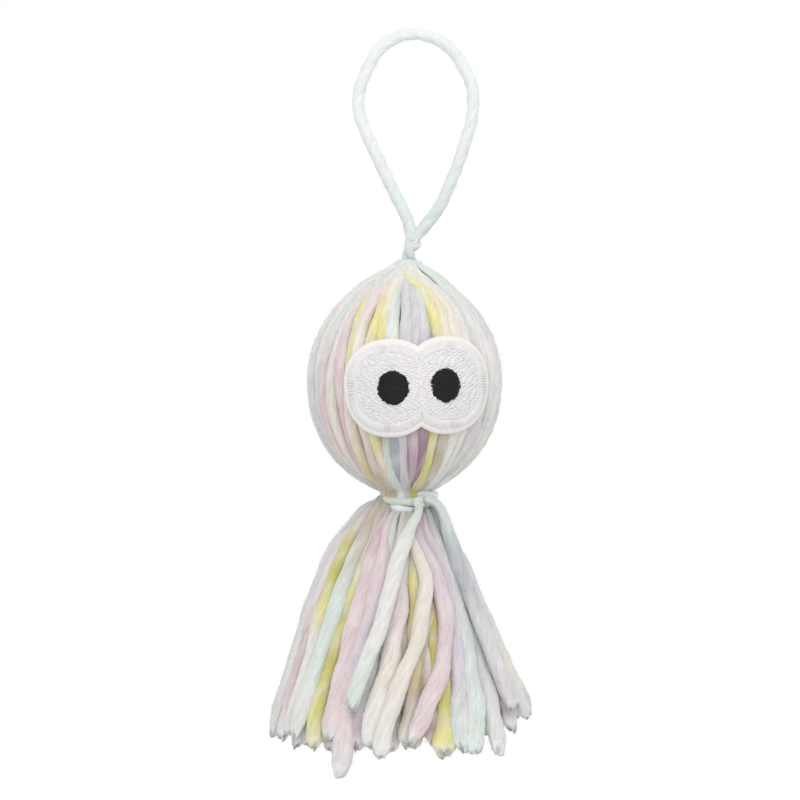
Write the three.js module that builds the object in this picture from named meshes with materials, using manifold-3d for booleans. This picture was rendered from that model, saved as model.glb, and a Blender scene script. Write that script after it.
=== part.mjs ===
// Crinkle octopus toy: a yarn tassel drawn over a crinkle ball, hung by a cord loop.
// Millimetres, +Z up, the face looks along -Y. The origin is the hang point inside the top of the loop.
import * as THREE from 'three';
import { mergeVertices } from 'three/addons/utils/BufferGeometryUtils.js';
import Module from 'manifold-3d';

const wasm = await Module();
wasm.setup();

// Fits
const seatGap = 0.3; // between two pieces that rest on each other
const strandGap = 0.5; // between neighbouring strands of yarn

// Hanging loop, its knot and its stem
const cordDiameter = 3.3;
const knotDrop = 54; // from the hang point to the middle of the knot
const knotReach = 2.8; // from the middle of the knot to its outside
const knotThickness = 1.9; // the cord where the knot draws it tight
const stemReach = 2.05; // outside radius of the twisted stem
const stemTurns = 0.75;
const stemSunk = 2; // how far the stem goes down into the crown

// Head
const headDiameter = 52.2;
const headDrop = 90.7; // from the hang point to the widest level of the head
const crownHeight = 32.2; // from the widest level up to the tip of the crown
const chinDepth = 30.2; // from the widest level down to where the underside would close
const crownHoleRadius = 2.4; // the hole that the stem comes out of
const crownLip = 1; // thickness of the yarn at the edge of that hole
const crownPower = 0.7; // how pointed the top half is; a half gives a plain oval
const chinPower = 0.5;
const yarnLayer = 4.2; // how thick the yarn lies over the ball
const strandsPerLock = 6;
const fluteDepth = 0.9; // how deep the valleys between the head's strands are
const headRings = 9;

// Neck and its tie
const neckDiameter = 12.4;
const neckHeight = 5.6;
const tieDiameter = 1.6;
const tiePitch = 2.1;
const tieTurns = 2;
const tieKnotAzimuth = 18; // degrees to the right of the front
const tieKnotReach = 1.9;
const tieKnotThickness = 1.1;
const tieKnotFlat = 0.6; // the knot is pressed flat against the winding

// Crown tie, crinkle film and stuffing
const crownTieDiameter = 2.2;
const crownTieRadius = 2.3;
const filmThickness = 0.6;
const filmCrinkle = 0.35; // height of the film's creases
const filmSlack = 0.8; // how loosely the film sits under the yarn; more than the height of a crease
const filmCreases = 6;
const filmMouthRadius = 2.2; // where the film is gathered at the neck

// Skirt
const lockCount = 8;
const frontLockAzimuth = -4; // degrees to the right of the front, so that the tail lies on one lock
const yarnDiameter = 5;
const skirtLength = 61;
const hemScatter = 4; // how uneven the cut ends are
const hemScatterTurn = 2.4; // radians from one strand's cut to the next one's
const hemRise = 7; // how much higher the hem hangs on the right
const hemRisePower = 3; // how late towards the right it rises
const rootHeight = 2; // height of the pressed yarn at the top of a lock
const rootInset = 1; // from the outside of the neck in to the middle of the outermost strands
const hemRadiusLeft = 34.8; // middle of the outermost strands at the hem
const hemRadiusRight = 33.5;
const shoulderLeft = 11; // how far the strands swell out right below the tie
const shoulderRight = 5.5;
const shoulderDrop = 2.5; // how soon they do
const flareLeft = 0.7; // power of the flare from there to the hem: smaller swells out sooner
const flareRight = 1;
const strandSides = 5;
const strandSteps = 8;
// Rings of strands across a lock: share of the outer radius, then the angles from the lock's middle
const lockRings = [
  { share: 1, offsets: [-15, 0, 15] },
  { share: 0.62, offsets: [-10, 10] },
  { share: 0.31, offsets: [0] },
];

// Tails of the neck tie, each lying on one lock
const tailDiameter = 4.4;
const tailRootShare = 0.6; // how thin the tail is drawn at the knot
const tailRootLength = 0.25; // share of the tail that it takes to relax
const tailRootDrop = 2.2; // from the top of the skirt to the top of a tail
const tailSwing = 0.6; // power of the sideways drift: smaller drifts sooner
const tailSides = 6;
const tailSteps = 12;
const leftTail = { from: 5, to: -25, length: 48 }; // degrees to the right of the front
const rightTail = { from: 27, to: 52, length: 52 };

// Eye patch
const faceTurn = 6.5; // degrees to the right of the front
const faceTilt = 3; // degrees, the right eye higher
const faceDrop = 92.2; // from the hang point to the middle of the patch
const feltThickness = 1.5;
const stitchThickness = 0.8;
const rimThickness = 1;
const pupilThickness = 0.5;
const lobeHalfWidth = 13;
const lobeHalfHeight = 13.1;
const lobeOffset = 7.5; // from the middle of the patch to the middle of a lobe
const rimInset = 1.2; // from the felt's edge to the border
const rimWidth = 2.6;
const pupilOffset = 6.45;
const pupilHalfWidth = 3.7;
const pupilHalfHeight = 4.6;
const patchSides = 36;
const feltRings = 3;
const fillSides = 24;
const fillRings = 3;
const pupilSides = 16;
const pupilRings = 2;

// Levels worked out from the dimensions
const headRadius = headDiameter / 2;
const neckRadius = neckDiameter / 2;
const headLevel = -headDrop;
const neckReach = Math.sqrt(1 - (neckRadius / headRadius) ** 2);
const neckTopLevel = headLevel - chinDepth * neckReach;
const neckBottomLevel = neckTopLevel - neckHeight;
const skirtTopLevel = neckBottomLevel - seatGap;
const lockAngle = 360 / lockCount;
const frontAzimuth = -90;
const rad = THREE.MathUtils.degToRad;

const materials = {
  cord: new THREE.MeshStandardMaterial({ color: 0xe6eeea, roughness: 0.85, metalness: 0 }),
  head: new THREE.MeshStandardMaterial({ color: 0xe8dfd8, roughness: 0.95, metalness: 0 }),
  skirt: new THREE.MeshStandardMaterial({ color: 0xeee2e0, roughness: 0.95, metalness: 0 }),
  tie: new THREE.MeshStandardMaterial({ color: 0xdde8e0, roughness: 0.9, metalness: 0 }),
  felt: new THREE.MeshStandardMaterial({ color: 0xf1ebe8, roughness: 1, metalness: 0 }),
  stitch: new THREE.MeshStandardMaterial({ color: 0xf6f5f4, roughness: 0.6, metalness: 0 }),
  pupil: new THREE.MeshStandardMaterial({ color: 0x242220, roughness: 0.6, metalness: 0 }),
  film: new THREE.MeshStandardMaterial({ color: 0xdfe4e8, roughness: 0.3, metalness: 0 }),
  stuffing: new THREE.MeshStandardMaterial({ color: 0xf7f6f2, roughness: 1, metalness: 0 }),
};

// Joins equal corners and drops the empty triangles at poles, so that a surface closes
function closed(geometry) {
  const bare = new THREE.BufferGeometry();
  bare.setAttribute('position', geometry.getAttribute('position'));
  if (geometry.index) bare.setIndex(geometry.index);
  const joined = mergeVertices(bare, 1e-3);
  const kept = [];
  const corners = joined.index.array;
  for (let i = 0; i < corners.length; i += 3) {
    const [a, b, c] = [corners[i], corners[i + 1], corners[i + 2]];
    if (a !== b && b !== c && a !== c) kept.push(a, b, c);
  }
  joined.setIndex(kept);
  joined.computeVertexNormals();
  return joined;
}

// Moves every corner of a geometry through a function
function reshape(geometry, move) {
  const position = geometry.getAttribute('position');
  const point = new THREE.Vector3();
  for (let i = 0; i < position.count; i++) {
    point.fromBufferAttribute(position, i);
    move(point);
    position.setXYZ(i, point.x, point.y, point.z);
  }
  return geometry;
}

// A tube along a curve whose radius may change; it is a bent cylinder, so its ends are closed
function tube(curve, radiusAt, sides, steps) {
  const frames = curve.computeFrenetFrames(steps, false);
  const straight = closed(new THREE.CylinderGeometry(1, 1, 1, sides, steps));
  return reshape(straight, (point) => {
    const along = THREE.MathUtils.clamp(0.5 - point.y, 0, 1);
    const step = Math.round(along * steps);
    const radius = radiusAt(along);
    const { x, z } = point;
    curve.getPointAt(along, point);
    point.addScaledVector(frames.normals[step], x * radius);
    point.addScaledVector(frames.binormals[step], z * radius);
  });
}

// A cord of one diameter along a curve
function cord(curve, diameter, sides, steps) {
  const section = new THREE.Shape().absarc(0, 0, diameter / 2, 0, 2 * Math.PI);
  // A round shape has twice as many sides as its curve segments
  const settings = { extrudePath: curve, curveSegments: sides / 2, steps, bevelEnabled: false };
  return closed(new THREE.ExtrudeGeometry(section, settings));
}

function solidOf(geometry) {
  const joined = closed(geometry);
  const vertProperties = new Float32Array(joined.getAttribute('position').array);
  const triVerts = new Uint32Array(joined.index.array);
  return new wasm.Manifold(new wasm.Mesh({ numProp: 3, vertProperties, triVerts }));
}

function geometryOf(solid) {
  const mesh = solid.getMesh();
  const geometry = new THREE.BufferGeometry();
  geometry.setAttribute('position', new THREE.BufferAttribute(mesh.vertProperties, 3));
  geometry.setIndex(new THREE.BufferAttribute(mesh.triVerts, 1));
  return closed(geometry);
}

function piece(name, geometry, material) {
  const mesh = new THREE.Mesh(geometry, material);
  mesh.name = name;
  return mesh;
}

// A point at an azimuth in degrees counted from the front towards the right
function around(azimuth, radius, level) {
  const angle = rad(frontAzimuth + azimuth);
  return new THREE.Vector3(radius * Math.cos(angle), radius * Math.sin(angle), level);
}

// Outside radius of the head at a level
function headRadiusAt(level) {
  const upper = level > headLevel;
  const share = Math.min(Math.abs(level - headLevel) / (upper ? crownHeight : chinDepth), 1);
  return headRadius * (1 - share * share) ** (upper ? crownPower : chinPower);
}

// Lays a revolved solid upright: its profile holds radius and level
function turned(profile, sides) {
  const points = profile.map(([radius, level]) => new THREE.Vector2(radius, level));
  return closed(new THREE.LatheGeometry(points, sides).rotateX(Math.PI / 2));
}

// Hanging loop: the cord's route, chosen by hand, from the knot up the left leg and down the right
const loopRoute = [
  [-1.9, 0, -51.2],
  [-2.2, 0, -47.6],
  [-3.7, 0, -42.4],
  [-8, 0, -31.7],
  [-12.6, 0, -21.1],
  [-13.4, 0, -15.7],
  [-12.2, 0, -10.4],
  [-8, 0, -2.6],
  [-1.2, 0, 1.6],
  [5.6, 0, 1.2],
  [11.5, 0, -2.4],
  [16.4, 0, -10.4],
  [17.2, 0, -15.7],
  [16.8, 0, -21.1],
  [13.6, 0, -31.7],
  [8.4, 0, -42.4],
  [3.8, 0, -47.6],
  [1.9, 0, -51.2],
];
const loopSteps = 36;
const loopSides = 8;
const loopCurve = new THREE.CatmullRomCurve3(loopRoute.map((p) => new THREE.Vector3(...p)));
const hangLoop = piece('hang_loop', cord(loopCurve, cordDiameter, loopSides, loopSteps), materials.cord);

// Overhand knot: a trefoil of lengths of cord, drawn so tight that they press into each other
const knotLengths = 3;
const knotSteps = 8;
const knotSides = 6;
const knotLap = 0.25; // radians that each length runs on inside the next
const knotLapShare = 0.7; // how thin its ends are there
function trefoilPoint(turn, middleRadius) {
  const swing = 1.5 * turn;
  const radius = middleRadius * (1 + Math.cos(swing) / 2);
  const rise = (middleRadius * Math.sin(swing)) / 2;
  return new THREE.Vector3(radius * Math.cos(turn), radius * Math.sin(turn), rise);
}
function overhandKnot(reach, thickness) {
  const middleRadius = (reach - thickness / 2) / 1.5;
  const span = (4 * Math.PI) / knotLengths;
  const radiusAt = (along) => (thickness / 2) * (along === 0 || along === 1 ? knotLapShare : 1);
  const lengths = [];
  for (let part = 0; part < knotLengths; part++) {
    const points = [];
    for (let step = 0; step <= knotSteps; step++) {
      const turn = part * span - knotLap + (step / knotSteps) * (span + 2 * knotLap);
      points.push(trefoilPoint(turn, middleRadius));
    }
    lengths.push(solidOf(tube(new THREE.CatmullRomCurve3(points), radiusAt, knotSides, knotSteps)));
  }
  // The outer shell has the largest volume; the others are hollows shut in between the lengths
  const shells = wasm.Manifold.union(lengths).decompose();
  shells.sort((a, b) => b.volume() - a.volume());
  return geometryOf(shells[0]);
}
const loopKnot = piece('loop_knot', overhandKnot(knotReach, knotThickness), materials.cord);
loopKnot.rotation.x = Math.PI / 2;
loopKnot.position.z = -knotDrop;

// Stem: the two ends of the loop cord twisted together, from the knot into the crown
const stemSides = 16;
const stemSteps = 4;
const crownLipRadius = crownHoleRadius + crownLip;
const crownRise = Math.sqrt(1 - (crownLipRadius / headRadius) ** (1 / crownPower));
const crownLevel = headLevel + crownHeight * crownRise;
const stemTop = -knotDrop - knotReach - seatGap;
const stemBottom = crownLevel - stemSunk;
const stemLength = stemTop - stemBottom;
const twoLobes = 0.32; // how far the pair's waist is drawn in
const stemBar = closed(new THREE.CylinderGeometry(1, 1, 1, stemSides, stemSteps).rotateX(Math.PI / 2));
const loopStem = piece('loop_stem', reshape(stemBar, (point) => {
  const reach = Math.hypot(point.x, point.y);
  const angle = Math.atan2(point.y, point.x);
  const radius = reach * stemReach * (1 - twoLobes * Math.sin(angle) ** 2);
  const turn = angle + point.z * stemTurns * 2 * Math.PI;
  point.set(radius * Math.cos(turn), radius * Math.sin(turn), stemTop + (point.z - 0.5) * stemLength);
}), materials.cord);

// Crown tie: the bight of the cord under the crown
const crownTieLevel = stemBottom - seatGap - crownTieDiameter / 2;
const crownTieSides = 6;
const crownTieSteps = 16;
const crownTieTube = crownTieDiameter / 2;
const crownTieRing = new THREE.TorusGeometry(crownTieRadius, crownTieTube, crownTieSides, crownTieSteps);
const crownTie = piece('crown_tie', closed(crownTieRing), materials.cord);
crownTie.position.z = crownTieLevel;

// Inside radius of the yarn over the ball at a level; it leaves room for the stem and the crown tie
const crownRoom = crownTieRadius + crownTieDiameter / 2 + seatGap;
const crownRoomFloor = crownTieLevel - crownTieDiameter / 2 - seatGap;
const neckBore = 0.7; // the little space left between the strands in the middle of the neck
function yarnInsideAt(level) {
  if (level > stemBottom) return crownHoleRadius;
  if (level > crownRoomFloor) return crownRoom;
  return Math.max(headRadiusAt(level) - yarnLayer, neckBore);
}

// Head yarn: one lock's strands over the ball, from the crown through the neck
const fluteCorners = 3; // corners across one strand
const fluteShare = 1 / 3; // a valley is no deeper than this share of the yarn there
const steepestSine = 0.9;
function headLock() {
  const levels = [];
  const middle = (crownLevel + neckTopLevel) / 2;
  for (let ring = 0; ring <= headRings; ring++) {
    const turn = (ring / headRings) * Math.PI;
    levels.push(middle + ((crownLevel - neckTopLevel) / 2) * Math.cos(turn));
  }
  levels.push(neckBottomLevel);
  const across = strandsPerLock * fluteCorners;
  const rows = levels.length - 1;
  const slab = closed(new THREE.BoxGeometry(1, 1, 1, across, rows, 1));
  return closed(reshape(slab, (point) => {
    const outside = point.z > 0;
    const corner = Math.round((point.x + 0.5) * across);
    const column = outside ? corner : Math.round(corner / fluteCorners) * fluteCorners;
    const row = Math.round((0.5 - point.y) * rows);
    const level = levels[row];
    const outer = level > headLevel ? headRadiusAt(level) : Math.max(headRadiusAt(level), neckRadius);
    const inside = yarnInsideAt(level);
    const isValley = column % fluteCorners === 0;
    const depth = isValley ? Math.min(fluteDepth, (outer - inside) * fluteShare) : 0;
    const radius = outside ? outer - depth : inside;
    const gapSine = Math.min(seatGap / 2 / radius, steepestSine);
    const halfGap = THREE.MathUtils.radToDeg(Math.asin(gapSine));
    const spread = (column / across) * 2 - 1;
    point.copy(around(spread * (lockAngle / 2 - halfGap), radius, level));
  }));
}

// Crinkle film: a thin creased bag round the stuffing, gathered at the neck
const filmTopLevel = crownRoomFloor - seatGap;
const filmRings = 7;
const filmSides = 18;
function filmRadiusAt(level) {
  return Math.max(yarnInsideAt(level) - seatGap - filmSlack, filmMouthRadius);
}
const filmMouthRoom = 1; // how far above its gathered mouth the film's bottom edge is
const filmMouthReach = (filmMouthRadius + yarnLayer + filmMouthRoom) / headRadius;
const filmBottomLevel = headLevel - chinDepth * Math.sqrt(1 - filmMouthReach ** 2);
function filmLevels(inset) {
  const levels = [];
  for (let ring = 0; ring <= filmRings; ring++) {
    const turn = (ring / filmRings) * Math.PI;
    const span = filmTopLevel - filmBottomLevel - inset;
    levels.push(filmBottomLevel + (span * (1 + Math.cos(turn))) / 2);
  }
  return levels;
}
const filmOutside = filmLevels(0).map((level) => [filmRadiusAt(level), level]);
const filmInside = filmLevels(filmThickness).map((level) => [filmRadiusAt(level) - filmThickness, level]);
const filmTip = [0, filmTopLevel];
const filmInnerTip = [0, filmTopLevel - filmThickness];
const filmProfile = [filmInnerTip, ...filmInside, ...filmOutside.reverse(), filmTip];
const crinkleFilm = piece('crinkle_film', reshape(turned(filmProfile, filmSides), (point) => {
  const reach = Math.hypot(point.x, point.y);
  const angle = Math.atan2(point.y, point.x);
  const fade = Math.min(reach / filmMouthRadius - 1, 1);
  const crease = filmCrinkle * fade * Math.sin(angle * filmCreases + point.z);
  const scale = reach > filmMouthRadius ? (reach + crease) / reach : 1;
  point.set(point.x * scale, point.y * scale, point.z);
}), materials.film);

// Stuffing ball inside the film
const stuffingRings = 7;
const stuffingSides = 16;
const stuffingRound = 0.2; // power of the rounding towards its tips
const stuffingSlack = 1.2; // room for the film's creases
const stuffingTop = filmTopLevel - filmThickness - seatGap;
const stuffingBottom = filmBottomLevel + seatGap;
const stuffingProfile = [];
for (let ring = 0; ring <= stuffingRings; ring++) {
  const turn = (ring / stuffingRings) * Math.PI;
  const level = stuffingBottom + ((stuffingTop - stuffingBottom) * (1 - Math.cos(turn))) / 2;
  const atTip = ring === 0 || ring === stuffingRings;
  const radius = filmRadiusAt(level) - filmThickness - stuffingSlack;
  stuffingProfile.push([atTip ? 0 : radius * Math.sin(turn) ** stuffingRound, level]);
}
const stuffingBall = piece('stuffing_ball', turned(stuffingProfile, stuffingSides), materials.stuffing);

// Puts a point of the flat patch on the head: along it, up it, and out from the yarn
const faceLevel = -faceDrop;
const faceRadius = headRadiusAt(faceLevel) + seatGap;
function onFace(sideways, upwards, lift) {
  const tilt = rad(faceTilt);
  const flatX = sideways * Math.cos(tilt) - upwards * Math.sin(tilt);
  const flatY = sideways * Math.sin(tilt) + upwards * Math.cos(tilt);
  const azimuth = faceTurn + THREE.MathUtils.radToDeg(flatX / faceRadius);
  const level = faceLevel + flatY;
  return around(azimuth, headRadiusAt(level) + seatGap + lift, level);
}

// A disc, or a ring round a hole, turned flat and then laid on the face inside its outline
function onPatch(outline, hole, middle, base, thickness, rings, sides) {
  const start = hole ? 1 : 0;
  const profile = [];
  for (let i = 0; i <= rings; i++) profile.push([start + i / rings, 0]);
  for (let i = rings; i >= 0; i--) profile.push([start + i / rings, 1]);
  if (hole) profile.push([start, 0]);
  return closed(reshape(turned(profile, sides), (point) => {
    const share = Math.hypot(point.x, point.y) - start;
    const angle = Math.atan2(point.y, point.x);
    const reach = THREE.MathUtils.lerp(hole ? hole(angle) : 0, outline(angle), share);
    const lift = base + point.z * thickness;
    point.copy(onFace(middle + reach * Math.cos(angle), reach * Math.sin(angle), lift));
  }));
}

// Distance from a point on the patch's middle line to the edge of an oval lobe, along an angle
function lobeReach(angle, offset, halfWidth, halfHeight) {
  const across = Math.cos(angle) / halfWidth;
  const up = Math.sin(angle) / halfHeight;
  const shift = offset / halfWidth;
  const square = across * across + up * up;
  const ahead = across * shift;
  return (ahead + Math.sqrt(ahead * ahead - square * (shift * shift - 1))) / square;
}
function patchOutline(inset) {
  const [wide, high] = [lobeHalfWidth - inset, lobeHalfHeight - inset];
  const lobe = (angle, side) => lobeReach(angle, lobeOffset * side, wide, high);
  return (angle) => Math.max(lobe(angle, -1), lobe(angle, 1));
}

// A filled lobe ends on the line between the eyes
const fillInset = rimInset + rimWidth + seatGap;
const fillOffset = (lobeOffset + lobeHalfWidth - fillInset) / 2;
function fillOutline(side) {
  const [wide, high] = [lobeHalfWidth - fillInset, lobeHalfHeight - fillInset];
  return (angle) => {
    const toLobe = lobeReach(angle, (lobeOffset - fillOffset) * side, wide, high);
    const towardsMiddle = -Math.cos(angle) * side;
    const toMiddle = towardsMiddle > 0.01 ? (fillOffset - strandGap / 2) / towardsMiddle : Infinity;
    return Math.min(toLobe, toMiddle);
  };
}
const stitchBase = feltThickness + seatGap;
const pupilBase = stitchBase + stitchThickness + seatGap;
const pupilOutline = (angle) => lobeReach(angle, 0, pupilHalfWidth, pupilHalfHeight);
const eyePatch = new THREE.Group();
const feltDisc = onPatch(patchOutline(0), null, 0, 0, feltThickness, feltRings, patchSides);
const rimHole = patchOutline(rimInset + rimWidth);
const rimRing = onPatch(patchOutline(rimInset), rimHole, 0, stitchBase, rimThickness, 1, patchSides);
eyePatch.add(piece('eye_felt', feltDisc, materials.felt));
eyePatch.add(piece('eye_rim', rimRing, materials.stitch));
for (const [side, word] of [[-1, 'left'], [1, 'right']]) {
  const fillMiddle = fillOffset * side;
  const outline = fillOutline(side);
  const fill = onPatch(outline, null, fillMiddle, stitchBase, stitchThickness, fillRings, fillSides);
  eyePatch.add(piece('eye_fill_' + word, fill, materials.stitch));
  const pupilMiddle = pupilOffset * side;
  const pupil = onPatch(pupilOutline, null, pupilMiddle, pupilBase, pupilThickness, pupilRings, pupilSides);
  eyePatch.add(piece('eye_pupil_' + word, pupil, materials.pupil));
}

// Neck tie: one unbroken winding round the neck
const tieRadius = neckRadius + seatGap + tieDiameter / 2;
const tieSteps = Math.round(tieTurns * 24); // 24 to a turn
const tieSides = 6;
const tieTop = neckTopLevel - (neckHeight - tieTurns * tiePitch) / 2;
const tiePoints = [];
for (let step = 0; step <= tieSteps; step++) {
  const turned360 = (step / tieSteps) * tieTurns;
  tiePoints.push(around(tieKnotAzimuth + turned360 * 360, tieRadius, tieTop - turned360 * tiePitch));
}
const tieCurve = new THREE.CatmullRomCurve3(tiePoints);
const neckTie = piece('neck_tie', cord(tieCurve, tieDiameter, tieSides, tieSteps), materials.tie);
let tieSelfGap = Infinity;
const tieSamples = tieCurve.getSpacedPoints(tieSteps * 4);
tieSamples.forEach((a, i) => tieSamples.forEach((b, j) => {
  const apartAlong = ((j - i) / tieSamples.length) * tieCurve.getLength();
  if (apartAlong > tieRadius) tieSelfGap = Math.min(tieSelfGap, a.distanceTo(b) - tieDiameter);
}));
console.log('neck_tie least gap to itself ' + tieSelfGap.toFixed(2) + ' mm');

// Knot of the tie, resting on the winding
const tieKnotShape = overhandKnot(tieKnotReach, tieKnotThickness).scale(1, 1, tieKnotFlat);
tieKnotShape.computeBoundingBox();
const tieKnotRadius = tieRadius + tieDiameter / 2 + seatGap + tieKnotShape.boundingBox.max.z;
const tieKnot = piece('tie_knot', tieKnotShape, materials.tie);
tieKnot.position.copy(around(tieKnotAzimuth, tieKnotRadius, (neckTopLevel + neckBottomLevel) / 2));
tieKnot.rotation.set(Math.PI / 2, 0, rad(tieKnotAzimuth), 'ZYX');

// Skirt: how a strand of the outermost ring leaves the neck and flares on its way to the hem
const outerRoot = neckRadius - rootInset;
const rightness = (azimuth) => (1 + Math.sin(rad(azimuth))) / 2;
function flareAt(azimuth, drop) {
  const side = rightness(azimuth);
  const hem = THREE.MathUtils.lerp(hemRadiusLeft, hemRadiusRight, side);
  const shoulder = THREE.MathUtils.lerp(shoulderLeft, shoulderRight, side);
  const power = THREE.MathUtils.lerp(flareLeft, flareRight, side);
  const swell = shoulder * (1 - Math.exp(-drop / shoulderDrop));
  return outerRoot + swell + (hem - outerRoot - shoulder) * (drop / skirtLength) ** power;
}

// Half the angle that a strand has to itself in its ring
function roomAngle(ring, offset) {
  const toSide = lockAngle / 2 - Math.abs(offset);
  const others = ring.offsets.filter((other) => other !== offset);
  return Math.min(toSide, ...others.map((other) => Math.abs(other - offset) / 2));
}

// One strand of a lock: its route, and its radius where its neighbours press on it
function strandOf(azimuth, ring, offset, order) {
  const rise = hemRise * rightness(azimuth + offset) ** hemRisePower;
  const cut = skirtLength - rise + hemScatter * Math.sin(order * hemScatterTurn);
  const points = [];
  const pointCount = strandSteps * 2;
  for (let i = 0; i <= pointCount; i++) {
    const drop = (cut * i) / pointCount;
    const radius = flareAt(azimuth + offset, drop) * ring.share;
    points.push(around(azimuth + offset, radius, skirtTopLevel - rootHeight / 2 - drop));
  }
  const curve = new THREE.CatmullRomCurve3(points);
  const room = Math.sin(rad(roomAngle(ring, offset)));
  const radiusAt = (along) => {
    const point = curve.getPointAt(along);
    const squeezed = Math.hypot(point.x, point.y) * room - strandGap / 2;
    return THREE.MathUtils.clamp(squeezed, strandGap, yarnDiameter / 2);
  };
  return { curve, radiusAt };
}

function strandsOf(azimuth) {
  const strands = [];
  for (const ring of lockRings) {
    for (const offset of ring.offsets) {
      const order = azimuth + strands.length;
      strands.push(strandOf(azimuth, ring, offset, order));
    }
  }
  return strands;
}

// A lock: its strands joined at the top by the yarn pressed together under the tie
function skirtLock(azimuth, strands) {
  const wedge = new THREE.Shape();
  const half = rad(lockAngle / 2);
  const inset = seatGap / 2 / Math.sin(half);
  const corner = (angle) => [inset + neckRadius * Math.cos(angle), neckRadius * Math.sin(angle)];
  wedge.moveTo(inset, 0);
  wedge.lineTo(...corner(-half));
  wedge.lineTo(...corner(0));
  wedge.lineTo(...corner(half));
  wedge.closePath();
  const root = new THREE.ExtrudeGeometry(wedge, { depth: rootHeight, bevelEnabled: false });
  root.rotateZ(rad(frontAzimuth + azimuth)).translate(0, 0, skirtTopLevel - rootHeight);
  let lock = solidOf(root);
  for (const { curve, radiusAt } of strands) {
    lock = lock.add(solidOf(tube(curve, radiusAt, strandSides, strandSteps)));
  }
  return geometryOf(lock);
}

// Least gap between a tail and the strands under it, measured on points along them
const samples = 48;
function leastGap(tailCurve, tailRadiusAt, strands) {
  let least = Infinity;
  for (let i = 0; i <= samples; i++) {
    const point = tailCurve.getPointAt(i / samples);
    for (const { middles, radii } of strands) {
      middles.forEach((middle, j) => {
        least = Math.min(least, point.distanceTo(middle) - radii[j] - tailRadiusAt(i / samples));
      });
    }
  }
  return least;
}

// A tail of the tie, let down on the skirt until it rests there
function tieTail(tail, strands) {
  const sampled = strands.map(({ curve, radiusAt }) => ({
    middles: curve.getSpacedPoints(samples),
    radii: Array.from({ length: samples + 1 }, (_, i) => radiusAt(i / samples)),
  }));
  const radiusAt = (along) => {
    const relaxed = Math.min(along / tailRootLength, 1);
    return (tailDiameter / 2) * THREE.MathUtils.lerp(tailRootShare, 1, relaxed);
  };
  const routeAt = (lift) => {
    const points = [];
    for (let i = 0; i <= tailSteps; i++) {
      const down = i / tailSteps;
      const azimuth = THREE.MathUtils.lerp(tail.from, tail.to, down ** tailSwing);
      const drop = tailRootDrop + tail.length * down;
      points.push(around(azimuth, flareAt(azimuth, drop) + lift, skirtTopLevel - drop));
    }
    return new THREE.CatmullRomCurve3(points);
  };
  let lift = yarnDiameter;
  const passes = 4;
  for (let pass = 0; pass < passes; pass++) {
    lift -= leastGap(routeAt(lift), radiusAt, sampled) - seatGap;
  }
  return tube(routeAt(lift), radiusAt, tailSides, tailSteps);
}

const head = new THREE.Group();
head.add(crownTie, crinkleFilm, stuffingBall, eyePatch, neckTie, tieKnot);
const skirt = new THREE.Group();
const headLockGeometry = headLock();
const allStrands = [];
for (let lock = 0; lock < lockCount; lock++) {
  const azimuth = frontLockAzimuth + lock * lockAngle;
  const yarn = piece('head_yarn_' + (lock + 1), headLockGeometry, materials.head);
  yarn.rotation.z = rad(azimuth);
  head.add(yarn);
  const strands = strandsOf(azimuth);
  allStrands.push(...strands);
  skirt.add(piece('skirt_lock_' + (lock + 1), skirtLock(azimuth, strands), materials.skirt));
}
skirt.add(piece('tie_tail_left', tieTail(leftTail, allStrands), materials.tie));
skirt.add(piece('tie_tail_right', tieTail(rightTail, allStrands), materials.tie));

const toy = new THREE.Group();
toy.name = 'crinkle_octopus_toy';
toy.add(hangLoop, loopKnot, loopStem, head, skirt);
export default toy;
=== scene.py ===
"""Crinkle octopus toy: a pastel yarn tassel drawn over a soft ball, with stitched eyes, hung by a cord loop.

Sizes are in millimetres and become metres when a mesh is written. +Z is up, the face looks along -Y, and
the origin is the hang point inside the top of the loop. Azimuths are degrees from the front to the right.
"""

import logging
import math
from dataclasses import dataclass, field
from enum import Enum

import bmesh
import bpy
import numpy as np
from mathutils import Matrix, Vector, noise


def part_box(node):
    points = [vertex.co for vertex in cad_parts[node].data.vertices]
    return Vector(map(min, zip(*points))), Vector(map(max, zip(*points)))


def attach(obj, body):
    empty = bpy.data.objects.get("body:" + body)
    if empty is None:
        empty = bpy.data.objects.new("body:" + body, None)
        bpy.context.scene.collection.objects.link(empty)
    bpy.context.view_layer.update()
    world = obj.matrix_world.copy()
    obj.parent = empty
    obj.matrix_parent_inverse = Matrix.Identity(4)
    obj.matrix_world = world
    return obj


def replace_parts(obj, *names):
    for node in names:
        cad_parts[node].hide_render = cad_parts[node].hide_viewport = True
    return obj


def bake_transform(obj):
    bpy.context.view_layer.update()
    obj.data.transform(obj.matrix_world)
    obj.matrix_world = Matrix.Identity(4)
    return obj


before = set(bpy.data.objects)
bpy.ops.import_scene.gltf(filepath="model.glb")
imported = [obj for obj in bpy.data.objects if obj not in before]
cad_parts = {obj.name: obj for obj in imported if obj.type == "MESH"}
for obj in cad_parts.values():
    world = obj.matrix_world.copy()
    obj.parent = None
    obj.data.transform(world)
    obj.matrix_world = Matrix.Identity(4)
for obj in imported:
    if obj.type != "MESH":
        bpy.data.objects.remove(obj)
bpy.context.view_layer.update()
LOG = logging.getLogger("crinkle_octopus")
MM = 0.001
TURN = 2 * math.pi
PHOTO_SIDE_PX = 800
PX_PER_MM = 3.75
HANG_POINT_PX = (408.5, 41.0)
LOCKS = 8
STRANDS_PER_LOCK = 6
STRANDS = LOCKS * STRANDS_PER_LOCK
FRONT_LOCK_AZIMUTH = -4.0
CURVE_STEPS = 12
CORD_FACING = (0.0, -1.0, 0.17)
ANY_TURN = (0.0, 6.3)


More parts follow.
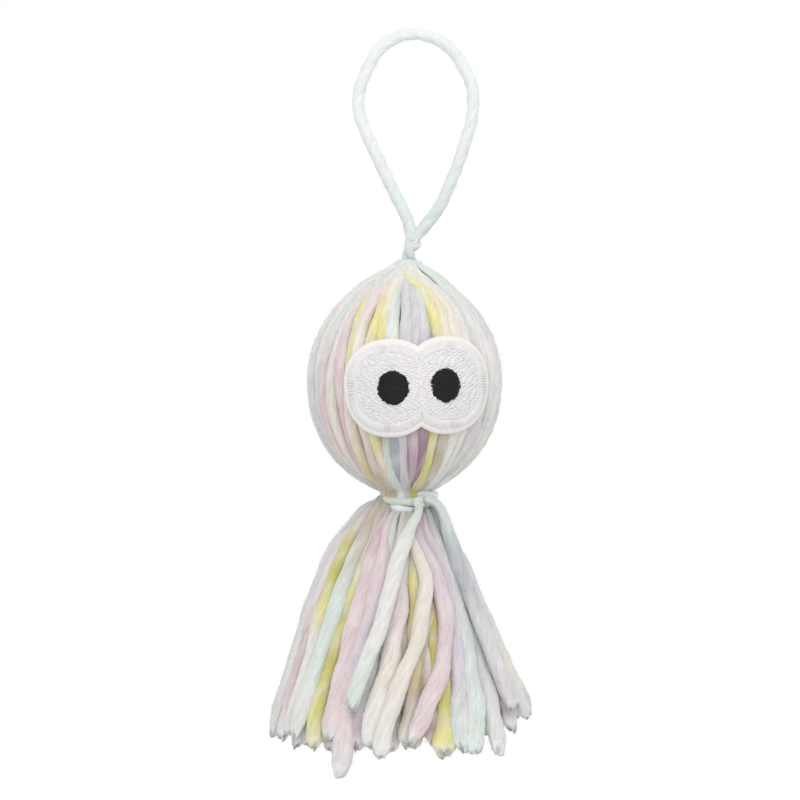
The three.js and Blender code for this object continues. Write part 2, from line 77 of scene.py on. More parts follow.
class Dye(Enum):
    """The colours of the space-dyed yarn, as 8-bit sRGB. The tan and the slate are painted shade under the
    head, under the chin and in hollows; the sage and the plum are mint and lilac darkened with painted shade
    under the chin.
    """

    ICE = (240, 245, 243)
    WHITE = (232, 231, 227)
    GREY = (216, 217, 216)
    CREAM = (236, 228, 217)
    PINK = (229, 210, 213)
    ROSE = (213, 186, 193)
    PEACH = (234, 213, 195)
    YELLOW = (231, 224, 158)
    OCHRE = (216, 196, 130)
    # Painted shade: a dark tan for the shade under the head and chin and in hollows between strands.
    SHADE_TAN = (193, 182, 162)
    OLIVE = (204, 198, 116)
    # Mint darkened with painted shade under the chin.
    SAGE = (172, 182, 150)
    MINT = (218, 228, 222)
    # Painted shade: a blue-grey for the shade under the head and chin.
    SHADE_SLATE = (172, 177, 184)
    LILAC = (218, 208, 218)
    MAUVE = (193, 168, 181)
    # Lilac darkened with painted shade under the chin.
    SHADE_PLUM = (163, 130, 148)

    @property
    def linear(self) -> np.ndarray:
        """The colour in linear light."""
        return linear(self.value)


(
    ICE, WHITE, GREY, CREAM, PINK, ROSE, PEACH, YELLOW, OCHRE,
    SHADE_TAN, OLIVE, SAGE, MINT, SHADE_SLATE, LILAC, MAUVE, SHADE_PLUM,
) = Dye
Rgb = tuple[int, int, int]
Span = tuple[float, float]
DyeStops = list[tuple[float, Dye]]


class Layer(Enum):
    """How deep strands lie in the skirt: the share of the outer radius, and how many a lock has there."""

    OUTER = (1.0, 5)
    BEHIND = (0.87, 5)
    MIDDLE = (0.66, 3)
    INNER = (0.36, 2)


def linear(rgb: Rgb) -> np.ndarray:
    """Turns an 8-bit sRGB colour into linear light."""
    share = np.array(rgb, float) / 255.0
    return np.where(share <= 0.04045, share / 12.92, ((share + 0.055) / 1.055) ** 2.4)


def smooth(low: float, high: float, value: np.ndarray) -> np.ndarray:
    """Eases values from 0 at low to 1 at high."""
    share = np.clip((value - low) / (high - low), 0.0, 1.0)
    return share * share * (3.0 - 2.0 * share)


def around(azimuth: np.ndarray, radius: np.ndarray, level: np.ndarray) -> np.ndarray:
    """Places points round the toy's axis, one to a row, from their degrees, radii and heights."""
    turn = np.radians(np.asarray(azimuth, float))
    return np.stack(np.broadcast_arrays(radius * np.sin(turn), -radius * np.cos(turn), level), axis=-1)


def turned(across: np.ndarray, up: np.ndarray, turn: np.ndarray) -> tuple[np.ndarray, np.ndarray]:
    """Turns flat places by radians, and gives their new places across and up."""
    cosine, sine = np.cos(turn), np.sin(turn)
    return across * cosine - up * sine, across * sine + up * cosine


def spaced(line: np.ndarray, count: int) -> np.ndarray:
    """Gives evenly spaced points along a line.

    Args:
        line: points of the line, one to a row.
        count: how many points to give.

    Returns:
        The points, one to a row.
    """
    steps = np.linalg.norm(np.diff(line, axis=0), axis=1)
    lengths = np.concatenate([[0.0], np.cumsum(steps)])
    wanted = np.linspace(0.0, lengths[-1], count)
    return np.stack([np.interp(wanted, lengths, line[:, axis]) for axis in range(3)], axis=1)


def smooth_route(points: np.ndarray, count: int) -> np.ndarray:
    """Runs a smooth curve through points.

    Args:
        points: points to pass through, one to a row.
        count: number of evenly spaced points to return.

    Returns:
        The points of the curve.
    """
    points = np.asarray(points, float)
    padded = np.vstack([2 * points[0] - points[1], points, 2 * points[-1] - points[-2]])
    steps = np.linspace(0.0, 1.0, CURVE_STEPS, endpoint=False)[:, None]
    runs = []
    for before, start, end, after in zip(padded, padded[1:], padded[2:], padded[3:]):
        linear_part = (end - before) * steps
        square_part = (2 * before - 5 * start + 4 * end - after) * steps**2
        cubic_part = (3 * start - before - 3 * end + after) * steps**3
        runs.append(start + 0.5 * (linear_part + square_part + cubic_part))
    return spaced(np.vstack([*runs, points[-1:]]), count)


def route_length(route: np.ndarray) -> float:
    """Measures the length along a route's points."""
    return float(np.linalg.norm(np.diff(route, axis=0), axis=1).sum())


def outward_from_axis(route: np.ndarray) -> np.ndarray:
    """Gives the unit vectors that point from the toy's axis to a route's points."""
    flat = route * np.array([1.0, 1.0, 0.0])
    return flat / np.maximum(np.linalg.norm(flat, axis=1, keepdims=True), 1e-6)


def dye_run(*dyes: Dye) -> DyeStops:
    """Spreads dyes evenly along a strand, from its start to its end."""
    last = max(len(dyes) - 1, 1)
    return [(index / last, dye) for index, dye in enumerate(dyes)]


def back_dyes(index: int) -> DyeStops:
    """Gives the dyes of a strand that the front doesn't show: its stretch of the dyed yarn's repeat.

    Args:
        index: place of the strand round the toy.

    Returns:
        Dyes from the strand's top to its end.
    """
    repeat = (WHITE, PINK, CREAM, YELLOW, WHITE, MINT, LILAC, GREY, PEACH, OCHRE, WHITE, ROSE, LILAC)
    strand_colours, strand_step = 4, 5
    start = index * strand_step
    return dye_run(*[repeat[(start + step) % len(repeat)] for step in range(strand_colours)])


def draw_out(bm: bmesh.types.BMesh, along: tuple[float, float, float], turn: float, steps: int) -> None:
    """Draws the edges of a section straight out with a twist, and closes both ends.

    Args:
        bm: mesh data that holds the section alone.
        along: the way from the first section to the last.
        turn: the whole twist.
        steps: how many sections to draw.
    """
    step = [part / steps for part in along]
    bmesh.ops.spin(bm, geom=bm.edges[:], cent=(0, 0, 0), axis=along, dvec=step, angle=turn, steps=steps)
    bmesh.ops.holes_fill(bm, edges=[edge for edge in bm.edges if edge.is_boundary], sides=0)


def written(bm: bmesh.types.BMesh, name: str) -> bpy.types.Mesh:
    """Writes mesh data to a new mesh and frees it.

    Args:
        bm: the finished mesh data.
        name: the mesh's name.

    Returns:
        The mesh.
    """
    mesh = bpy.data.meshes.new(name)
    bm.to_mesh(mesh)
    bm.free()
    return mesh


def corners(mesh: bpy.types.Mesh) -> np.ndarray:
    """Reads the vertices of a mesh.

    Args:
        mesh: the mesh.

    Returns:
        Their places, one to a row.
    """
    flat = np.empty(len(mesh.vertices) * 3)
    mesh.vertices.foreach_get("co", flat)
    return flat.reshape(-1, 3)


def move_corners(mesh: bpy.types.Mesh, points: np.ndarray) -> None:
    """Moves the vertices of a mesh to points in millimetres."""
    mesh.vertices.foreach_set("co", (points * MM).ravel())


def join(name: str, meshes: list[bpy.types.Mesh], material: bpy.types.Material) -> bpy.types.Object:
    """Joins meshes into one smooth piece at the origin.

    Args:
        name: the piece's name.
        meshes: meshes in metres, which are used up.
        material: the piece's finish.

    Returns:
        The new object.
    """
    bm = bmesh.new()
    for mesh in meshes:
        bm.from_mesh(mesh)
        bpy.data.meshes.remove(mesh)
    bmesh.ops.recalc_face_normals(bm, faces=bm.faces)
    for face in bm.faces:
        face.smooth = True
    joined = written(bm, name)
    joined.materials.append(material)
    piece = bpy.data.objects.new(name, joined)
    bpy.context.scene.collection.objects.link(piece)
    LOG.info("%s: %d faces", name, len(joined.polygons))
    return piece


def settle(piece: bpy.types.Object, body: str, slot: str, *nodes: str) -> bpy.types.Object:
    """Lets a piece ride on a body and stand for CAD nodes.

    Args:
        piece: the finished piece.
        body: CAD body that carries it.
        slot: not used.
        nodes: CAD nodes that it stands for.

    Returns:
        The piece.
    """
    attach(piece, body)
    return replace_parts(piece, *nodes)


def new_material(name: str) -> tuple[bpy.types.Nodes, bpy.types.NodeLinks, bpy.types.Node]:
    """Starts a material with its one shader.

    Args:
        name: the material's name.

    Returns:
        The nodes, the links and the shader node.
    """
    material = bpy.data.materials.new(name)
    material.use_nodes = True
    nodes = material.node_tree.nodes
    return nodes, material.node_tree.links, nodes["Principled BSDF"]


def add_relief(shader: bpy.types.Node, height: bpy.types.NodeSocket, strength: float, depth: float) -> None:
    """Raises the surface of a finish.

    Args:
        shader: the finish's shader node.
        height: output of the node that gives the height.
        strength: how strongly the relief shows.
        depth: how high it is.
    """
    nodes, links = shader.id_data.nodes, shader.id_data.links
    relief = nodes.new("ShaderNodeBump")
    set_inputs(relief, {"Strength": strength, "Distance": depth * MM})
    links.new(height, relief.inputs["Height"])
    links.new(relief.outputs["Normal"], shader.inputs["Normal"])


def set_inputs(node: bpy.types.Node, values: dict[str, float | tuple[float, ...]]) -> None:
    """Sets the inputs of a node by their names."""
    for name, value in values.items():
        node.inputs[name].default_value = value


@dataclass(frozen=True)
class YarnFinish:
    """Soft brushed yarn: a dyed base, streaky fibres along the strand, and sheen."""

    name: str
    fibre_width: float = 0.25
    fibre_length: float = 3.5
    clump_width: float = 0.8
    clump_length: float = 6.0
    streak_range: Span = (0.65, 1.35)
    streak_detail: float = 2.0
    darkest: float = 0.82
    lightest: float = 1.06
    bump: float = 0.6
    bump_depth: float = 0.4
    sheen: float = 0.6
    sheen_roughness: float = 0.5
    roughness: float = 1.0
    gloss: float = 0.1

    def material(self) -> bpy.types.Material:
        """Builds the node material, which reads the attributes "dye" and "yarn".

        Returns:
            The material.
        """
        nodes, links, shader = new_material(self.name)
        dye = nodes.new("ShaderNodeAttribute")
        dye.attribute_name = "dye"
        fibres = self.streaks(nodes, links, self.fibre_width, self.fibre_length)
        clumps = self.streaks(nodes, links, self.clump_width, self.clump_length)
        both = nodes.new("ShaderNodeMath")
        both.operation = "ADD"
        links.new(fibres.outputs["Fac"], both.inputs[0])
        links.new(clumps.outputs["Fac"], both.inputs[1])
        shade = nodes.new("ShaderNodeMapRange")
        set_inputs(shade, dict(zip(("From Min", "From Max"), self.streak_range)))
        set_inputs(shade, {"To Min": self.darkest, "To Max": self.lightest})
        links.new(both.outputs["Value"], shade.inputs["Value"])
        tint = nodes.new("ShaderNodeVectorMath")
        tint.operation = "SCALE"
        links.new(dye.outputs["Color"], tint.inputs[0])
        links.new(shade.outputs["Result"], tint.inputs["Scale"])
        links.new(tint.outputs["Vector"], shader.inputs["Base Color"])
        add_relief(shader, both.outputs["Value"], self.bump, self.bump_depth)
        set_inputs(shader, {"Roughness": self.roughness, "Specular IOR Level": self.gloss})
        set_inputs(shader, {"Sheen Weight": self.sheen, "Sheen Roughness": self.sheen_roughness})
        return bpy.data.materials[self.name]

    def streaks(
        self, nodes: bpy.types.Nodes, links: bpy.types.NodeLinks, width: float, length: float
    ) -> bpy.types.Node:
        """Adds noise that is drawn out along the straight strand.

        Args:
            nodes: the material's nodes.
            links: the material's links.
            width: size of a streak across the strand.
            length: size of a streak along it.

        Returns:
            The noise node.
        """
        place = nodes.new("ShaderNodeAttribute")
        place.attribute_name = "yarn"
        mapping = nodes.new("ShaderNodeMapping")
        set_inputs(mapping, {"Scale": (1 / width, 1 / width, 1 / length)})
        links.new(place.outputs["Vector"], mapping.inputs["Vector"])
        grain = nodes.new("ShaderNodeTexNoise")
        set_inputs(grain, {"Scale": 1.0, "Detail": self.streak_detail})
        links.new(mapping.outputs["Vector"], grain.inputs["Vector"])
        return grain


@dataclass(frozen=True)
class FeltFinish:
    """Matted fibres: one noise gives the light and dark of the colour, and the relief."""

    name: str
    light: Rgb
    dark: Rgb
    grain: float
    relief: float
    roughness: float = 1.0
    sheen: float = 0.3
    grain_detail: float = 6.0
    grain_swirl: float = 1.2
    contrast: Span = (0.3, 0.7)
    bump: float = 0.6
    gloss: float = 0.2

    def material(self) -> bpy.types.Material:
        """Builds the node material.

        Returns:
            The material.
        """
        nodes, links, shader = new_material(self.name)
        place = nodes.new("ShaderNodeTexCoord")
        grain = nodes.new("ShaderNodeTexNoise")
        set_inputs(grain, {"Scale": 1 / (self.grain * MM)})
        set_inputs(grain, {"Detail": self.grain_detail, "Distortion": self.grain_swirl})
        links.new(place.outputs["Object"], grain.inputs["Vector"])
        ramp = nodes.new("ShaderNodeValToRGB")
        stops = zip(ramp.color_ramp.elements, self.contrast, (self.dark, self.light))
        for stop, position, colour in stops:
            stop.position = position
            stop.color = (*linear(colour), 1.0)
        links.new(grain.outputs["Fac"], ramp.inputs["Fac"])
        links.new(ramp.outputs["Color"], shader.inputs["Base Color"])
        add_relief(shader, grain.outputs["Fac"], self.bump, self.relief)
        set_inputs(shader, {"Roughness": self.roughness, "Specular IOR Level": self.gloss})
        set_inputs(shader, {"Sheen Weight": self.sheen})
        return bpy.data.materials[self.name]


@dataclass(frozen=True)
class LooseFibres:
    """How loose fibres stand on a strand: spans of the place along it, the depth in it and the size."""

    along: Span
    reach: Span
    size: Span
    forward: float
    rise: Span = (0.1, 0.9)
    outward: Span = (0.3, 1.0)
    sideways: Span = (-0.9, 0.9)


SIDE_FIBRES = LooseFibres(along=(0.02, 0.965), reach=(0.86, 0.97), size=(0.4, 1.2), forward=0.0)
END_FIBRES = LooseFibres(along=(0.97, 0.985), reach=(0.2, 0.7), size=(0.5, 1.6), forward=1.5)


@dataclass(frozen=True)
class YarnStock:
    """A straight length of yarn, of radius 1 and length 1, that is laid along every route."""

    name: str
    length: float
    radius: float
    turns: float
    lobes: int = 3
    lobe_depth: float = 0.13
    lobe_power: float = 0.7
    lump: float = 0.08
    lump_length: float = 3.5
    small_lumps: float = 2.7
    fuzz: float = 0.07
    fuzz_length: float = 0.9
    sides: int = 18
    rings: int = 110
    start_round: float = 1.0
    end_round: float = 5.0
    blunt: float = 0.12
    ragged: float = 2.2
    split: float = 0.3
    tufts: float = 3.4
    tip_start: float = 0.96
    tip_gather: float = 1.8
    hairs: int = 450
    end_hairs: int = 110
    hairs_forward: float = 0.6
    hair_length: float = 1.3
    hair_radius: float = 0.025
    hair_taper: float = 0.5
    hair_bend: float = 0.5
    seed: int = 1
    lump_shift: float = 9.0
    fuzz_shift: float = 31.0
    tuft_shift: float = 5.3

    def mesh(self) -> bpy.types.Mesh:
        """Spins the lobed section up the axis, and sets the loose fibres on it.

        Returns:
            The mesh of the stock.
        """
        bm = bmesh.new()
        section = bmesh.ops.create_circle(bm, segments=self.sides, radius=1.0)
        for vertex in section["verts"]:
            turn = math.atan2(vertex.co.y, vertex.co.x)
            ridge = abs(math.cos(self.lobes * turn / 2)) ** self.lobe_power
            vertex.co *= 1.0 - self.lobe_depth * (1.0 - ridge)
        draw_out(bm, (0, 0, 1), self.turns * TURN, self.rings)
        self.make_uneven(bm)
        self.add_hairs(bm)
        return written(bm, self.name)

    def make_uneven(self, bm: bmesh.types.BMesh) -> None:
        """Swells and thins the strand, rounds its start, and frays its end, where the rings are gathered.

        Args:
            bm: mesh of the strand.
        """
        tip_share = 1.0 - self.tip_start
        for vertex in bm.verts:
            x, y, z = vertex.co
            tip = min(max(z - self.tip_start, 0.0) / tip_share, 1.0)
            z = min(z, self.tip_start) + tip_share * (1.0 - (1.0 - tip) ** self.tip_gather)
            place = Vector((x, y, z * self.length / self.lump_length + self.lump_shift * self.seed))
            lumps = noise.noise(place) + 0.5 * noise.noise(place * self.small_lumps)
            fine = Vector((x * self.radius, y * self.radius, z * self.length)) / self.fuzz_length
            fuzz = noise.noise(fine + Vector((0, 0, self.fuzz_shift * self.seed)))
            swell = 1.0 + self.lump * lumps + self.fuzz * fuzz
            near_start = min(z * self.length / self.start_round, 1.0)
            near_end = min(max(1.0 - z, 0.0) * self.length / self.end_round, 1.0)
            for near in (near_start, near_end):
                dome = math.sqrt(max(1.0 - (1.0 - near) ** 2, 0.0))
                swell *= self.blunt + (1.0 - self.blunt) * dome
            turn = math.atan2(y, x) - self.turns * TURN * z
            round_place = Vector((math.cos(turn), math.sin(turn), self.tuft_shift * self.seed))
            tuft = noise.noise(round_place * self.tufts)
            frayed = (1.0 - near_end) ** 2
            swell *= 1.0 + self.split * frayed * tuft
            cut = self.ragged * frayed * tuft / self.length
            vertex.co = (x * swell, y * swell, z + cut)

    def add_hairs(self, bm: bmesh.types.BMesh) -> None:
        """Sets bent fibres on the strand, first at its cut end and then along its side.

        Args:
            bm: mesh of the strand.
        """
        rng = np.random.default_rng(self.seed)
        flatten = Matrix.Diagonal((1 / self.radius, 1 / self.radius, 1 / self.length, 1.0))
        hair = self.hair_mesh()
        for index in range(self.hairs + self.end_hairs):
            at_end = index < self.end_hairs
            stand = END_FIBRES if at_end else SIDE_FIBRES
            turn = rng.uniform(0, TURN)
            along = rng.uniform(*stand.along)
            reach = rng.uniform(*stand.reach)
            outward = Vector((math.cos(turn), math.sin(turn), 0))
            sideways = Vector((-math.sin(turn), math.cos(turn), 0))
            base = outward * self.radius * reach + Vector((0, 0, along * self.length))
            way = 1.0 if at_end or rng.uniform() < self.hairs_forward else -1.0
            direction = Vector((0, 0, way * rng.uniform(*stand.rise)))
            direction += outward * rng.uniform(*stand.outward) + sideways * rng.uniform(*stand.sideways)
            direction.z += stand.forward
            pointed = direction.to_track_quat("Z", "X").to_matrix().to_4x4()
            size = Matrix.Diagonal((1, 1, rng.uniform(*stand.size), 1))
            old = len(bm.verts)
            bm.from_mesh(hair)
            bm.verts.ensure_lookup_table()
            place = flatten @ Matrix.Translation(base) @ pointed @ size
            bmesh.ops.transform(bm, matrix=place, verts=bm.verts[old:])
        bpy.data.meshes.remove(hair)

    def hair_mesh(self) -> bpy.types.Mesh:
        """Makes one bent fibre, in millimetres.

        Returns:
            The mesh of the fibre.
        """
        bm = bmesh.new()
        bmesh.ops.create_cone(
            bm,
            cap_ends=False,
            segments=3,
            radius1=self.hair_radius,
            radius2=self.hair_radius * self.hair_taper,
            depth=self.hair_length,
            matrix=Matrix.Translation((0, 0, self.hair_length / 2)),
        )
        long_edges = [edge for edge in bm.edges if edge.calc_length() > self.hair_length / 2]
        bmesh.ops.subdivide_edges(bm, edges=long_edges, cuts=1)
        for vertex in bm.verts:
            share = vertex.co.z / self.hair_length
            vertex.co.x += self.hair_bend * self.hair_length * share * share
        return written(bm, self.name + "_hair")


KNOT_CORD = YarnStock(
    "knot_cord", length=30, radius=1.1, turns=3, lobe_depth=0.2, rings=120, hairs=90, hair_length=1.2
)
TIE_CORD = YarnStock(
    "tie_cord", length=92, radius=0.9, turns=5, lobe_depth=0.08,
    rings=260, sides=12, hairs=300, hair_length=0.9,
)
TIE_KNOT_CORD = YarnStock(
    "tie_knot_cord", length=18, radius=0.6, turns=3, rings=100, sides=12, hairs=60, hair_length=1.0
)
HEAD_YARNS = [
    YarnStock(f"head_yarn_{seed}", length=95, radius=2.0, turns=1.0, hairs=420, seed=seed)
    for seed in (4, 5, 6)
]
SKIRT_YARNS = [
    YarnStock(f"skirt_yarn_{seed}", length=66, radius=2.4, turns=1.1, end_round=end_round, seed=seed)
    for seed, end_round in ((1, 2.4), (2, 3.6), (3, 6.0))
]
HIDDEN_YARN = YarnStock("hidden_yarn", length=66, radius=2.4, turns=0.9, sides=12, rings=60, hairs=0)


@dataclass
class Strand:
    """One strand of yarn: where it runs, how it is pressed, and how it is dyed."""

    route: np.ndarray
    outward: np.ndarray
    width: np.ndarray
    height: np.ndarray
    dyes: DyeStops
    turn: float = 0.0


def round_strand(route: np.ndarray, radius: float, dyes: DyeStops) -> Strand:
    """Makes a round strand whose outside looks to the front.

    Args:
        route: its points.
        radius: its radius.
        dyes: its colours.

    Returns:
        The strand.
    """
    even = np.full(len(route), radius)
    return Strand(route, np.tile(CORD_FACING, (len(route), 1)), even, even, dyes)


def overhand_knot(reach: float, thickness: float) -> np.ndarray:
    """Gives the middle line of a tight overhand knot that faces the front.

    Args:
        reach: from the knot's middle to its outside.
        thickness: diameter of its cord.

    Returns:
        Points round the knot's own middle.
    """
    first_turn, rounds, weave, widest, samples = 0.4, 2, 1.5, 1.5, 140
    turn = np.linspace(first_turn, first_turn + rounds * TURN, samples)
    middle = (reach - thickness / 2) / widest
    radius = middle * (1 + np.cos(weave * turn) / 2)
    depth = middle * np.sin(weave * turn) / 2
    return np.stack([radius * np.cos(turn), depth, radius * np.sin(turn)], axis=1)


@dataclass
class Spinner:
    """Lays stocks of yarn along routes. Each stock is made once."""

    seed: int
    flecks: float = 0.3
    fleck_length: Span = (1.2, 2.6)
    ply_start: float = 0.08
    # Painted light: how far the cut ends are blended towards ice, to lift the shade under the tips.
    tip_painted_light: float = 0.6
    end_fade: Span = (0.955, 0.995)
    strand_shade: Span = (0.96, 1.02)
    pattern_shift: float = 500.0
    meshes: dict[str, bpy.types.Mesh] = field(default_factory=dict)

    def __post_init__(self) -> None:
        """Starts the random draws."""
        self.rng = np.random.default_rng(self.seed)

    def lay(self, stock: YarnStock, strand: Strand) -> bpy.types.Mesh:
        """Bends a copy of the stock along a strand's route and dyes it.

        Args:
            stock: the kind of yarn.
            strand: the strand to make.

        Returns:
            A new mesh in metres.
        """
        if stock.name not in self.meshes:
            self.meshes[stock.name] = stock.mesh()
        mesh = self.meshes[stock.name].copy()
        straight = corners(mesh)
        share = np.clip(straight[:, 2], 0.0, 1.0)
        length = route_length(strand.route)
        tangent = np.gradient(strand.route, axis=0)
        tangent /= np.linalg.norm(tangent, axis=1, keepdims=True)
        upright = strand.outward - (strand.outward * tangent).sum(1, keepdims=True) * tangent
        upright /= np.linalg.norm(upright, axis=1, keepdims=True)
        across = np.cross(upright, tangent)
        at = share * (len(strand.route) - 1)
        guides = (strand.route, tangent, across, upright, strand.width[:, None], strand.height[:, None])
        route, ahead, aside, up, width, height = (self.between(rows, at) for rows in guides)
        sideways, outwards = turned(straight[:, 0:1], straight[:, 1:2], strand.turn)
        placed = route + ahead * ((straight[:, 2] - share) * length)[:, None]
        placed += aside * sideways * width
        placed += up * outwards * height
        move_corners(mesh, placed)
        self.write_attributes(mesh, stock, strand, straight)
        return mesh

    @staticmethod
    def between(rows: np.ndarray, at: np.ndarray) -> np.ndarray:
        """Reads rows at fractional places.

        Args:
            rows: values along a route.
            at: places, counted in rows.

        Returns:
            One row for each place.
        """
        low = np.minimum(at.astype(int), len(rows) - 2)
        share = (at - low)[:, None]
        return rows[low] * (1 - share) + rows[low + 1] * share

    def write_attributes(
        self, mesh: bpy.types.Mesh, stock: YarnStock, strand: Strand, straight: np.ndarray
    ) -> None:
        """Writes the dye and the place in the straight, untwisted strand to every vertex.

        Args:
            mesh: the laid mesh.
            stock: its kind of yarn.
            strand: its strand.
            straight: the stock's own vertices.
        """
        across, up = turned(straight[:, 0], straight[:, 1], -TURN * stock.turns * straight[:, 2])
        length = route_length(strand.route)
        place = np.stack([across * stock.radius, up * stock.radius, straight[:, 2] * length], axis=1)
        colour = np.ones((len(straight), 4))
        colour[:, :3] = self.dyed(stock, strand, place, straight[:, 2])
        place += self.rng.uniform(-self.pattern_shift, self.pattern_shift, 3)
        yarn = mesh.attributes.new("yarn", "FLOAT_VECTOR", "POINT")
        yarn.data.foreach_set("vector", place.ravel())
        dye = mesh.attributes.new("dye", "FLOAT_COLOR", "POINT")
        dye.data.foreach_set("color", colour.ravel())

    def dyed(self, stock: YarnStock, strand: Strand, place: np.ndarray, along: np.ndarray) -> np.ndarray:
        """Works out the dye of every vertex.

        Each ply has its own start and pale flecks where the dye missed, and the cut end is painted paler, a
        painted light that lifts the shade under the tips.

        Args:
            stock: the kind of yarn.
            strand: its strand.
            place: places in the straight, untwisted strand.
            along: shares of the length.

        Returns:
            Linear colours, one to a row.
        """
        stops = np.array([share for share, _ in strand.dyes])
        tones = np.array([dye.linear for _, dye in strand.dyes])
        turn = np.arctan2(place[:, 1], place[:, 0]) / TURN + 0.5
        ply = np.minimum((turn * stock.lobes).astype(int), stock.lobes - 1)
        starts = self.rng.uniform(-self.ply_start, self.ply_start, stock.lobes)
        phases = self.rng.uniform(0, TURN, stock.lobes)
        waves = self.rng.uniform(*self.fleck_length, stock.lobes)
        shares = np.clip(along + starts[ply], 0, 1)
        colour = np.stack([np.interp(shares, stops, tones[:, i]) for i in range(3)], axis=1)
        missed = self.flecks * (0.5 + 0.5 * np.sin(place[:, 2] / waves[ply] + phases[ply]))[:, None] ** 2
        colour += (WHITE.linear - colour) * missed
        # Painted light: the cut ends are blended towards ice to lift the shade under the tips.
        colour += (ICE.linear - colour) * self.tip_painted_light * smooth(*self.end_fade, along)[:, None]
        return colour * self.rng.uniform(*self.strand_shade)


@dataclass(frozen=True)
class HangingLoop:
    """The teardrop loop of twisted cord, its knot, its stem and the hidden bight in the crown."""

    cord_diameter: float = 3.3
    knot_level: float = -54.0
    knot_reach: float = 2.5
    knot_thickness: float = 2.2
    knot_aside: float = 1.1
    stem_top: float = -52.5
    stem_bottom: float = -62.0
    stem_radius: float = 0.7
    stem_cord: float = 1.35
    stem_turns: float = 0.75
    stem_phases: Span = (90.0, 270.0)
    stem_upright: float = 0.5
    crown_tie_radius: float = 2.3
    crown_tie_level: float = -62.8
    crown_tie_diameter: float = 2.2
    samples: int = 160
    stem_samples: int = 30
    crown_tie_samples: int = 60

    def route(self) -> np.ndarray:
        """Gives the cord's route, up the left leg and down the right.

        Returns:
            Points from the knot back to the knot.
        """
        points = [
            (1.0, -0.3, -54.0), (0.6, -0.2, -51.0), (-0.3, 0, -47.6), (-2.8, 0, -42.4), (-8, 0, -31.7),
            (-12.6, 0, -21.1), (-13.4, 0, -15.7), (-12.2, 0, -10.4), (-8, 0, -2.6), (-1.2, 0, 1.6),
            (5.6, 0, 1.2), (11.5, 0, -2.4), (16.4, 0, -10.4), (17.2, 0, -15.7), (16.8, 0, -21.1),
            (13.6, 0, -31.7), (9.2, 0, -42.4), (6.0, 0, -47.4), (1.9, 0.2, -52.4), (1.0, 0.4, -54.0),
        ]
        return smooth_route(points, self.samples)

    def build(self, spinner: Spinner, material: bpy.types.Material) -> None:
        """Makes the loop, the knot, the stem and the bight.

        Args:
            spinner: lays the cord.
            material: finish of the cord.
        """
        route = self.route()
        length = route_length(route)
        radius = self.cord_diameter / 2
        stock = YarnStock("loop_cord", length, radius, turns=10, rings=220, hairs=600, hair_length=1.1)
        strand = round_strand(route, radius, dye_run(MINT, ICE, ICE, ICE, MINT))
        cord = join("loop_cord", [spinner.lay(stock, strand)], material)
        settle(cord, "loop", "loop_cord", "hang_loop")
        knot = settle(self.knot(spinner, material), "knot", "loop_cord", "loop_knot")
        stem_stock = YarnStock(
            "stem_cord", length=7, radius=self.stem_cord, turns=0.5, lobe_depth=0.2,
            rings=30, ragged=0, split=0, hairs=0, end_hairs=0,
        )
        leg_routes = [self.stem_route(phase) for phase in self.stem_phases]
        legs = [round_strand(leg, self.stem_cord, dye_run(MINT, MINT)) for leg in leg_routes]
        stem = join("loop_stem_cords", [spinner.lay(stem_stock, leg) for leg in legs], material)
        settle(stem, "stem", "loop_cord", "loop_stem")
        ring_turn = np.linspace(0, 360, self.crown_tie_samples)
        ring_route = around(ring_turn, self.crown_tie_radius, self.crown_tie_level)
        ring = round_strand(ring_route, self.crown_tie_diameter / 2, dye_run(MINT, MINT))
        bight = join("crown_bight", [spinner.lay(stem_stock, ring)], material)
        settle(bight, "head", "loop_cord", "crown_tie")

    def knot(self, spinner: Spinner, material: bpy.types.Material) -> bpy.types.Object:
        """Ties the knot between the loop and the stem.

        Args:
            spinner: lays the cord.
            material: finish of the cord.

        Returns:
            The piece.
        """
        route = overhand_knot(self.knot_reach, self.knot_thickness)
        route = route + np.array([self.knot_aside, 0, self.knot_level])
        strand = round_strand(route, self.knot_thickness / 2, dye_run(MINT, ICE, MINT))
        return join("loop_knot_cord", [spinner.lay(KNOT_CORD, strand)], material)

    def stem_route(self, phase: float) -> np.ndarray:
        """Winds one of the stem's two cords.

        Args:
            phase: azimuth of its top.

        Returns:
            Points from the knot down into the crown.
        """
        share = np.linspace(0, 1, self.stem_samples)
        level = self.stem_top + (self.stem_bottom - self.stem_top) * share
        aside = np.outer(1 - smooth(0, self.stem_upright, share), (self.knot_aside, 0, 0))
        return around(phase + 360 * self.stem_turns * share, self.stem_radius, level) + aside


